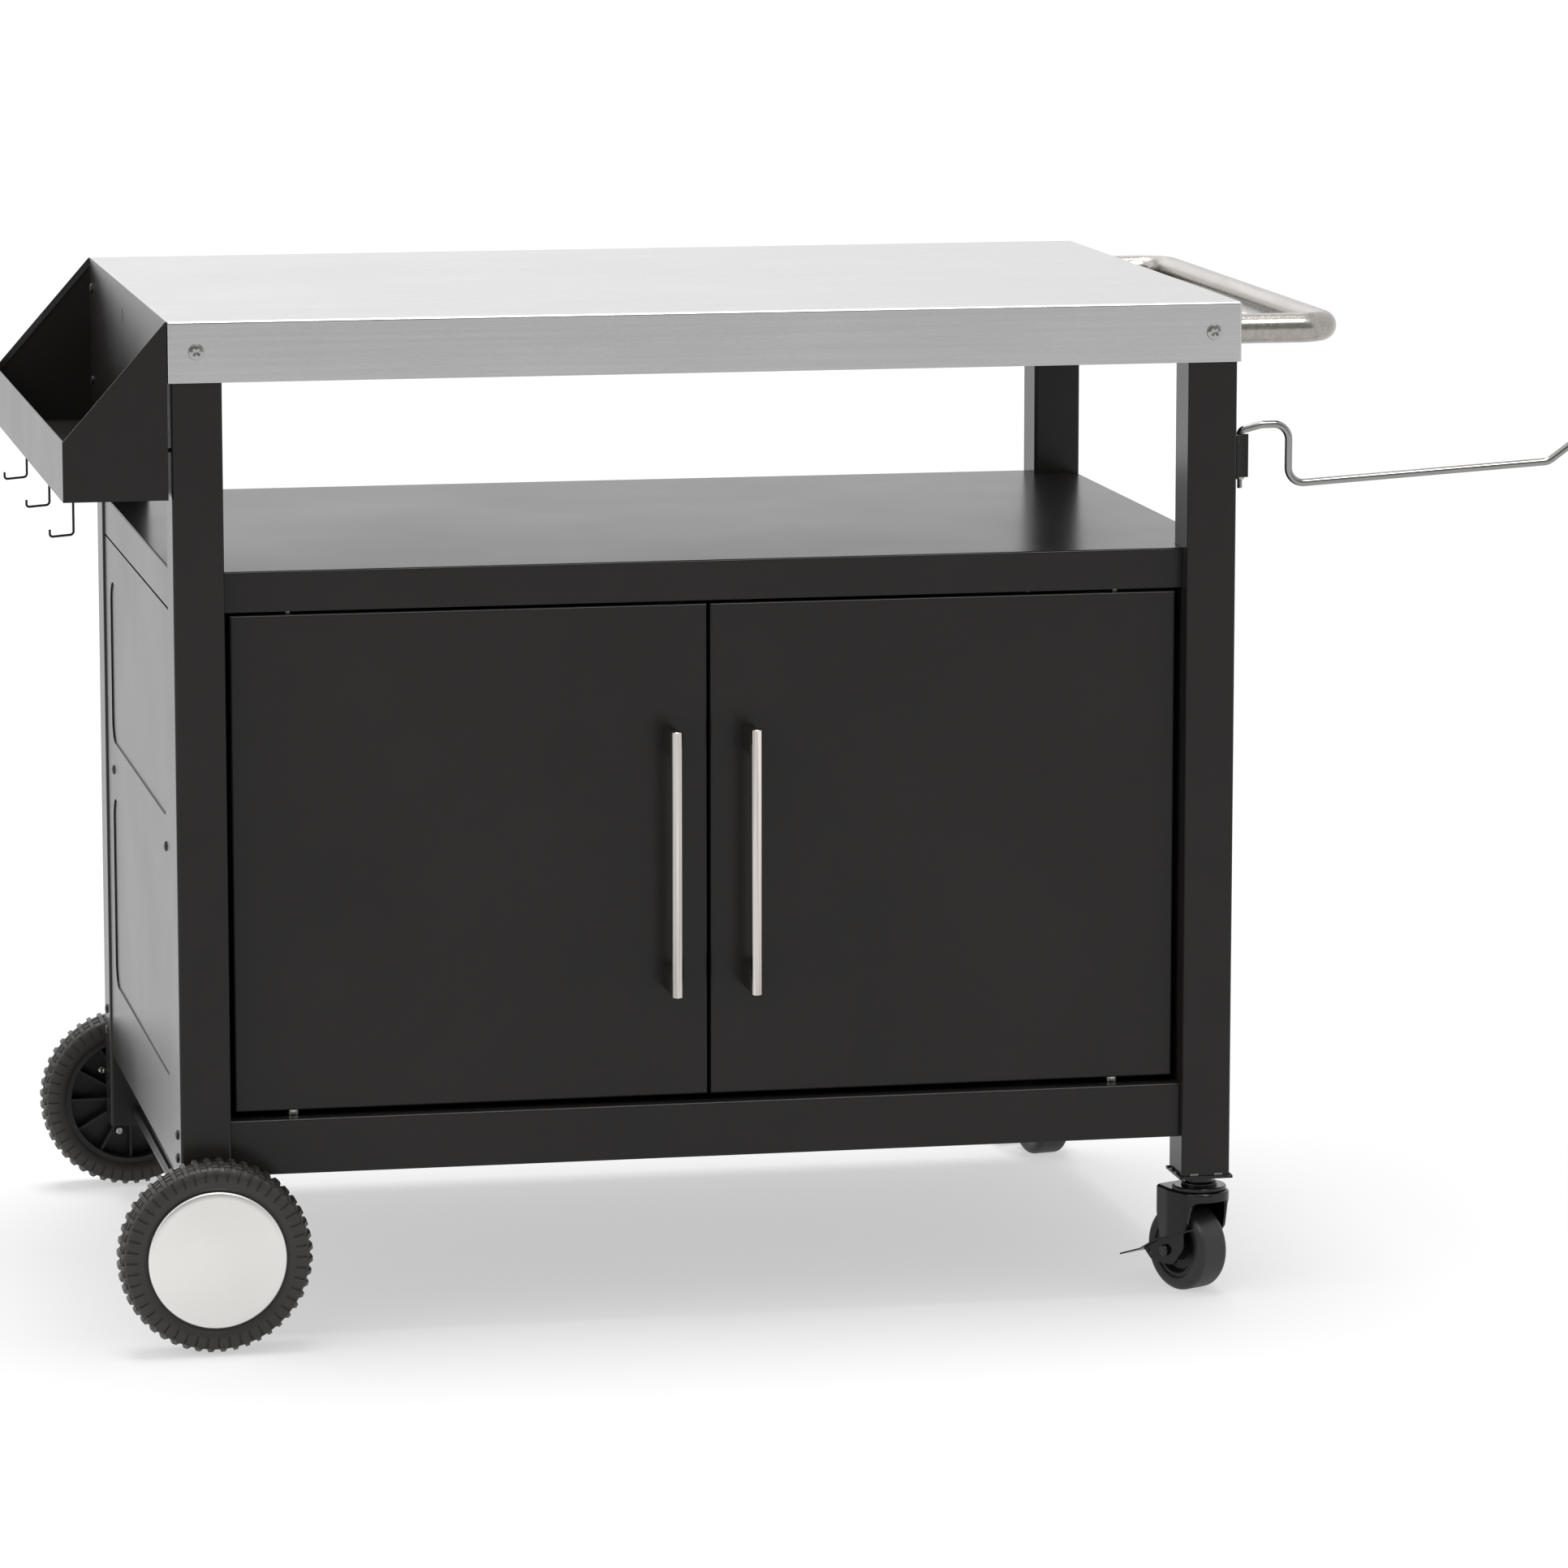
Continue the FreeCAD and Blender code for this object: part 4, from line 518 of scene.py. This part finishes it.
# Length of the top from the stem, height lost in the foot's bend, fall of the foot, and height of the tip
HOOK_TOP, HOOK_LOSS, HOOK_FALL, HOOK_TIP = 0.011, 0.0002, 0.0016, 0.0066
for number, (low, high) in enumerate(solids("tray_hooks"), 1):
    y, wire = (low.y + high.y) / 2, (high.y - low.y) / 2
    stem = high.x - HOOK_TOP
    foot, foot_level = low.x + wire, low.z + wire - HOOK_LOSS
    line = bent_line((((high.x, y, high.z - wire), 0), ((stem, y, high.z - wire), HOOK_TOP_BEND),
                      ((stem, y, foot_level + HOOK_FALL), HOOK_BEND), ((foot, y, foot_level), HOOK_TIP_BEND),
                      ((foot, y, foot_level + HOOK_TIP), 0)))
    hook = bar_along("tray_hook_%d" % number, line, wire, sides=16, round_ends=0.0004)
    settle(hook, "frame", black_coat, "black_powder_coat", *(["tray_hooks"] if number == 1 else []))


# Push handle: one stainless tube with two bends, on the right end of the worktop, with a fine cross grain.
# A bright screw from inside each right leg, through the worktop's folded edge, holds its ends.
satin_tube = brushed_steel("Satin tube steel", (700, 120, 700), (0.31, 0.29, 0.265), (0.39, 0.37, 0.345),
                           rough=0.24, depth=0.03)
PUSH_BEND = 0.028
low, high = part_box("push_handle")
tube = (high.z - low.z) / 2
level = (low.z + high.z) / 2
near, far = low.y + tube, high.y - tube
line = bent_line((((low.x, near, level), 0), ((high.x - tube, near, level), PUSH_BEND),
                  ((high.x - tube, far, level), PUSH_BEND), ((low.x, far, level), 0)), steps=24)
settle(bar_along("push_handle_tube", line, tube, sides=64), "frame", satin_tube, "brushed_tube", "push_handle")
settle(pan_heads("handle_screw_heads", "handle_screws", lambda at: (-1, 0, 0), height=0.0035), "frame", zinc,
       "bright_screws", "handle_screws")


# Swing rod bracket: a plate pressed from black sheet, with two ears that hold the rod upright.
# Two black screws fix it to the front right leg.
settle(rounded("rod_bracket_plate", "rod_bracket", 0.0006), "frame", black_coat, "black_powder_coat", "rod_bracket")
settle(pan_heads("bracket_screw_heads", "bracket_screws", sideways, height=0.0016), "frame", black_oxide,
       "black_screws", "bracket_screws")


# Swing rod: chromed round bar, bent into a hump and a long run with an upturned end.
# Its thinner end is threaded, turns in the bracket's ears and is kept by a nut.
chrome = plated("Chrome plate", (0.27, 0.267, 0.26), rough=0.1, grime=0.25)
ROD_BEND, ROD_SHOULDER_BEND, ROD_CREST_BEND, ROD_TIP_BEND = 0.014, 0.005, 0.025, 0.014
rod_joint = next(joint for joint in frame["joints"] if joint["name"] == "rod_swing")
pivot = Vector(rod_joint["pos_m"])
low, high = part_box("swing_rod")
rod_radius = (high.y - low.y) / 2
# Heights of the rod's bends above the floor, and the steps sideways and up from one to the next
SHOULDER, CREST, VALLEY = 0.7523, 0.7962, 0.7418
LEAN, LEAN_RISE, HUMP, RUN, RUN_RISE, TIP, TIP_RISE = 0.02, 0.005, 0.0452, 0.244, 0.0148, 0.036, 0.026
x = pivot.x
corners = (((x, pivot.y, SHOULDER), 0), ((x, pivot.y, CREST - LEAN_RISE), ROD_SHOULDER_BEND),
           ((x + LEAN, pivot.y, CREST), ROD_CREST_BEND), ((x + HUMP, pivot.y, CREST), ROD_BEND),
           ((x + HUMP, pivot.y, VALLEY), ROD_BEND), ((x + HUMP + RUN, pivot.y, VALLEY + RUN_RISE), ROD_TIP_BEND),
           ((x + HUMP + RUN + TIP, pivot.y, VALLEY + RUN_RISE + TIP_RISE), 0))
settle(bar_along("swing_rod_bar", bent_line(corners, steps=16), rod_radius, sides=40, round_ends=0.0008),
       "swing_rod", chrome, "chrome_wire", "swing_rod")
STUD_RADIUS, THREAD_DEPTH, THREAD_PITCH = 0.0025, 0.0003, 0.0008
stud = bmesh.new()
stud_length = SHOULDER - low.z
turns = int(stud_length / THREAD_PITCH)
profile = [(0, 0), (0, STUD_RADIUS - THREAD_DEPTH)]
for turn in range(turns):
    profile += [((turn + 0.5) * THREAD_PITCH, STUD_RADIUS), ((turn + 1) * THREAD_PITCH, STUD_RADIUS - THREAD_DEPTH)]
lathe(stud, Vector((pivot.x, pivot.y, low.z)), (0, 0, 1), profile, steps=32)
settle(finished("swing_rod_thread", stud), "swing_rod", zinc, "bright_screws")
settle(rounded("swing_rod_nut", "rod_nut", 0.0003), "swing_rod", zinc, "bright_screws", "rod_nut")


# Axle: one black steel rod through both left legs, on which the large wheels turn.
# A washer and a nut at each end, under the hub caps, keep the wheels on it.
settle(rounded("axle_bar", "axle", 0.0006), "frame", black_oxide, "black_screws", "axle")
settle(rounded("axle_end_nuts", "axle_nuts", 0.0005), "frame", black_oxide, "black_screws", "axle_nuts")
settle(rounded("axle_end_washers", "axle_washers", 0.0003), "frame", black_oxide, "black_screws", "axle_washers")


# Large wheels: a solid rubber tyre on a black plastic rim, closed outside by a pale metal cap.
# The tread is a net of ribs: cross ribs stand proud, ring ribs lie lower, with pockets between.
rubber_skin, given, result = new_group(
    "Rubber skin", (("Position", "NodeSocketVector", (0, 0, 0)), ("Dust", "NodeSocketFloat", 0.5)),
    (("Height", "NodeSocketFloat"), ("Dusty", "NodeSocketFloat")))
skin = node(rubber_skin, "TexNoise", {"Vector": given["Position"], "Scale": 700, "Detail": 3})
cloud = node(rubber_skin, "TexNoise", {"Vector": given["Position"], "Scale": 30, "Detail": 4})
dusty = node(rubber_skin, "Math", {0: cloud.outputs["Fac"], 1: given["Dust"]}, operation="MULTIPLY")
rubber_skin.links.new(skin.outputs["Fac"], result["Height"])
rubber_skin.links.new(dusty.outputs[0], result["Dusty"])


def rubber(name, colour, dust_colour, dust, rough):
    """Black rubber with pale dust, which is duller where it is dusty."""
    material, tree, shader = new_material(name, Specular_IOR_Level=0.55)
    surface = placed(tree, rubber_skin, Dust=dust)
    tree.links.new(tinted(tree, surface["Dusty"], colour, dust_colour), shader["Base Color"])
    tree.links.new(spread(tree, surface["Dusty"], rough - 0.05, rough + 0.1, 0.1, 0.4), shader["Roughness"])
    bumped(tree, shader, surface["Height"], 0.25, 0.00015)
    return material


tyre_rubber = rubber("Tyre rubber", (0.02, 0.0178, 0.0158), (0.055, 0.048, 0.042), dust=0.6, rough=0.4)
TREAD_PITCHES = 48
# Half of the tyre's section in mm: distance from the middle, depth under the tread, drop between ribs, and whether
# it is the tread (0) or the side wall (1)
SECTION = ((0, 0, 2.6, 0), (1.5, 0, 2.6, 0), (2.0, 0.05, 3.5, 0), (8.2, 0.4, 3.5, 0), (8.7, 0.5, 2.9, 0),
           (10.4, 1.7, 2.0, 0), (10.9, 1.85, 3.0, 0), (16.2, 3.5, 3.0, 0), (16.7, 3.7, 1.2, 0), (19.0, 5.3, 1.3, 0),
           (19.5, 6.0, 1.6, 1), (21.2, 9.5, 1.2, 1), (21.8, 13.0, 1.0, 1), (21.8, 15.9, 0.9, 1), (21.75, 16.3, 0, 1),
           (21.4, 19.0, 0, 1), (20.6, 21.6, 0, 1), (20.1, 22.6, 0, 1), (19.4, 23.4, 0, 1), (19.2, 24.48, 0, 1))
# Where ribs stand within one pitch, on the tread and on the side wall
COLUMNS = ((0, 0, 0), (0.05, 0, 0), (0.1, 0, 1), (0.26, 0, 1), (0.33, 1, 1), (0.5, 1, 1), (0.67, 1, 1), (0.74, 0, 1),
           (0.9, 0, 1), (0.95, 0, 0))


def tyre_form(centre, radius):
    """The tyre as a net of points: one line of its section for each column round the tread."""
    whole = [(-y, depth, drop, row) for y, depth, drop, row in reversed(SECTION[1:])] + list(SECTION)
    places = [Vector((y, -depth)) for y, depth, drop, row in whole]
    outward = []
    for index in range(len(places)):
        along = places[min(index + 1, len(places) - 1)] - places[max(index - 1, 0)]
        outward.append(Vector((-along.y, along.x)).normalized())
    form = bmesh.new()
    lines = []
    for pitch in range(TREAD_PITCHES):
        for share, *rib in COLUMNS:
            turn = math.tau * (pitch + share) / TREAD_PITCHES
            line = []
            for (y, depth, drop, row), place, way in zip(whole, places, outward):
                point = place - way * (0 if rib[row] else drop)
                size = radius + point.y / 1000
                around = Vector((size * math.sin(turn), point.x / 1000, size * math.cos(turn)))
                line.append(form.verts.new(centre + around))
            lines.append(line)
    for first, second in zip(lines, lines[1:] + lines[:1]):
        for k in range(len(whole)):
            following = (k + 1) % len(whole)
            form.faces.new((first[k], first[following], second[following], second[k]))
    return form


# The hub cap's section in mm: fall from the crown at shares of the radius, then fall at steps in from the edge
CAP_CROWN = ((0, 0), (0.1, 0.3), (0.5, 0.6), (1.1, 0.9))
CAP_EDGE = ((1.3, 1.6), (1.7, 0.7), (2.4, 0.1), (4.7, 0), (4.7, 1), (2.6, 1.2))
CAP_BACK = 1.8
cap_metal, cap_tree, cap_shader = new_material("Pale cap metal", Metallic=0.85)
sheen = placed(cap_tree, brushing, Lines=(260, 260, 260))
cap_tree.links.new(tinted(cap_tree, spread(cap_tree, sheen["Smears"], 0, 1), (0.86, 0.845, 0.82), (0.80, 0.785, 0.76)),
                   cap_shader["Base Color"])
cap_tree.links.new(spread(cap_tree, sheen["Smears"], 0.28, 0.38), cap_shader["Roughness"])
for end, out in (("front", -1), ("back", 1)):
    wheel = "wheel_" + end
    low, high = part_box("tyre_" + end)
    centre = (low + high) / 2
    settle(finished("tyre_net_" + end, tyre_form(centre, (high.z - low.z) / 2)), wheel, tyre_rubber, "tyre_rubber",
           "tyre_" + end)
    settle(rounded("rim_moulding_" + end, "rim_" + end, 0.0007), wheel, black_plastic, "black_plastic", "rim_" + end)
    low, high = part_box("hub_cap_" + end)
    radius = (high.x - low.x) / 2
    crown = high.y - centre.y if out > 0 else centre.y - low.y
    section = [(crown - fall / 1000, radius * share) for fall, share in CAP_CROWN]
    section += [(crown - fall / 1000, radius - inset / 1000) for fall, inset in CAP_EDGE]
    cap = bmesh.new()
    lathe(cap, centre, (0, out, 0), section + [(crown - CAP_BACK / 1000, 0)], steps=128)
    settle(finished("hub_cap_disc_" + end, cap, crease=60), wheel, cap_metal, "hub_cap_metal", "hub_cap_" + end)
    inward = (0, -out, 0)
    settle(pan_heads("cap_screw_set_" + end, "cap_screws_" + end, lambda at: inward, SMALL_HEAD), wheel, zinc,
           "bright_screws", "cap_screws_" + end)


# Casters: a race and stem under each right leg, a pressed fork, a rubber wheel on a plastic core,
# a through bolt, and a pedal brake whose ears turn on the same bolt.
caster_coat = painted("Glossy black coat", (0.006, 0.0055, 0.005), rough=0.12, shine=0.35)
caster_rubber = rubber("Caster rubber", (0.014, 0.0135, 0.013), (0.04, 0.038, 0.035), dust=0.4, rough=0.5)
settle(rounded("caster_races", "caster_heads", 0.0008), "frame", caster_coat, "black_powder_coat", "caster_heads")
for end in ("front", "back"):
    for name, cad_node, edge, body, material, slot in (
            ("caster_fork_press_", "caster_fork_", 0.0008, "caster_", caster_coat, "black_powder_coat"),
            ("caster_axle_bolt_", "caster_bolt_", 0.0008, "caster_", black_oxide, "black_screws"),
            ("caster_tread_", "caster_tyre_", 0.0006, "caster_wheel_", caster_rubber, "caster_rubber"),
            ("caster_hub_", "caster_core_", 0.0006, "caster_wheel_", black_plastic, "black_plastic"),
            ("brake_pedal_", "brake_lever_", 0.0005, "brake_", caster_coat, "black_powder_coat")):
        settle(rounded(name + end, cad_node + end, edge), body + end, material, slot, cad_node + end)


# Studio: a pale floor that keeps the cart's shadow, soft lamps and a white surround.
# The camera, gloss and glass see the floor and the surround brighter than they light the cart.
FLOOR_SHARE, FLOOR_GLOW, FLOOR_REACH = 0.5, 0.53, 40
SURROUND_LIGHT = 0.42


def bright_rays(tree):
    """One for the rays that see the white studio: from the camera, in gloss and through glass."""
    path = node(tree, "LightPath").outputs
    seen = node(tree, "Math", {0: path["Is Camera Ray"], 1: path["Is Glossy Ray"]}, operation="MAXIMUM")
    seen = node(tree, "Math", {0: seen.outputs[0], 1: path["Is Transmission Ray"]}, operation="MAXIMUM")
    return seen.outputs[0]


floor_mesh = bpy.data.meshes.new("Floor")
floor_corners = [(x * FLOOR_REACH, y * FLOOR_REACH, 0) for x, y in ((-1, -1), (1, -1), (1, 1), (-1, 1))]
floor_mesh.from_pydata(floor_corners, [], [(0, 1, 2, 3)])
floor = link("Floor", floor_mesh)
paper = bpy.data.materials.new("Pale paper")
paper.use_nodes = True
tree = paper.node_tree
tree.nodes.remove(tree.nodes["Principled BSDF"])
lit = node(tree, "BsdfDiffuse", {"Color": (FLOOR_SHARE, FLOOR_SHARE, FLOOR_SHARE, 1)})
glow = node(tree, "Math", {0: bright_rays(tree), 1: FLOOR_GLOW}, operation="MULTIPLY")
white = node(tree, "Emission", {"Strength": glow.outputs[0]})
both = node(tree, "AddShader", {0: lit.outputs[0], 1: white.outputs[0]})
tree.links.new(both.outputs[0], tree.nodes["Material Output"].inputs["Surface"])
floor_mesh.materials.append(paper)

world = bpy.data.worlds.new("Surround")
bpy.context.scene.world = world
world.use_nodes = True
tree = world.node_tree
level = node(tree, "MapRange", {"Value": bright_rays(tree), "To Min": SURROUND_LIGHT, "To Max": 1.0})
background = tree.nodes["Background"]
background.inputs["Color"].default_value = (1, 1, 1, 1)
tree.links.new(level.outputs[0], background.inputs["Strength"])


def soft_sun(name, toward, strength, spread_degrees):
    """A very wide, even light from one side, so that its shadows stay soft."""
    light = bpy.data.lights.new(name, "SUN")
    light.angle = math.radians(spread_degrees)
    light.energy = strength
    holder = bpy.data.objects.new(name, light)
    bpy.context.scene.collection.objects.link(holder)
    holder.location = (0, 0, 3)
    holder.rotation_euler = Vector(toward).to_track_quat("-Z", "Y").to_euler()
    return holder


soft_sun("Overhead light", (0.02, -0.12, -1), strength=1.75, spread_degrees=26)
soft_sun("Left light", (1, 0.6, -1.2), strength=0.45, spread_degrees=60)
soft_sun("Sheen light", (0.15, -1, -0.75), strength=0.35, spread_degrees=50).visible_diffuse = False
soft_sun("Edge light", (-0.193, 0.48, -0.855), strength=1.1, spread_degrees=20).visible_diffuse = False

# Studio walls behind the camera, dim on the left and paler on the right, which only gloss shows.
WALL_PLACE, WALL_FOOT, WALL_TOP = -9, 0.4, 9
for name, left, right, tone in (("Dim wall", -9, 1, 0.4), ("Pale wall", 1, 9, 0.66)):
    wall_mesh = bpy.data.meshes.new(name)
    rim = (left, WALL_FOOT), (right, WALL_FOOT), (right, WALL_TOP), (left, WALL_TOP)
    wall_mesh.from_pydata([(x, WALL_PLACE, z) for x, z in rim], [], [(0, 1, 2, 3)])
    wall = link(name, wall_mesh)
    wall_paint = bpy.data.materials.new(name)
    wall_paint.use_nodes = True
    wall_colour = wall_paint.node_tree.nodes["Principled BSDF"].inputs["Base Color"]
    wall_colour.default_value = (tone, tone * 0.98, tone * 0.94, 1)
    wall_mesh.materials.append(wall_paint)
    wall.visible_camera = wall.visible_diffuse = wall.visible_shadow = False


# Camera: stands left of the cart's middle, above its top, and looks a little down, with a long lens.
# Its place and angle are those from which the cart's edges fall as in the photograph.
CAMERA_PLACE = (-1.1723, -6.5140, 1.5123)
CAMERA_YAW, CAMERA_PITCH = 0.1972, 0.1611
LENS = 164.7
camera = bpy.data.cameras.new("Camera")
camera.sensor_width = 36
camera.lens = LENS
camera.clip_end = 100
view = bpy.data.objects.new("Camera", camera)
bpy.context.scene.collection.objects.link(view)
view.location = CAMERA_PLACE
view.rotation_euler = (math.pi / 2 - CAMERA_PITCH, 0, -CAMERA_YAW)
bpy.context.scene.camera = view
bpy.context.scene.view_settings.view_transform = "Standard"

# Sizes of the solids
low, high = cad_box
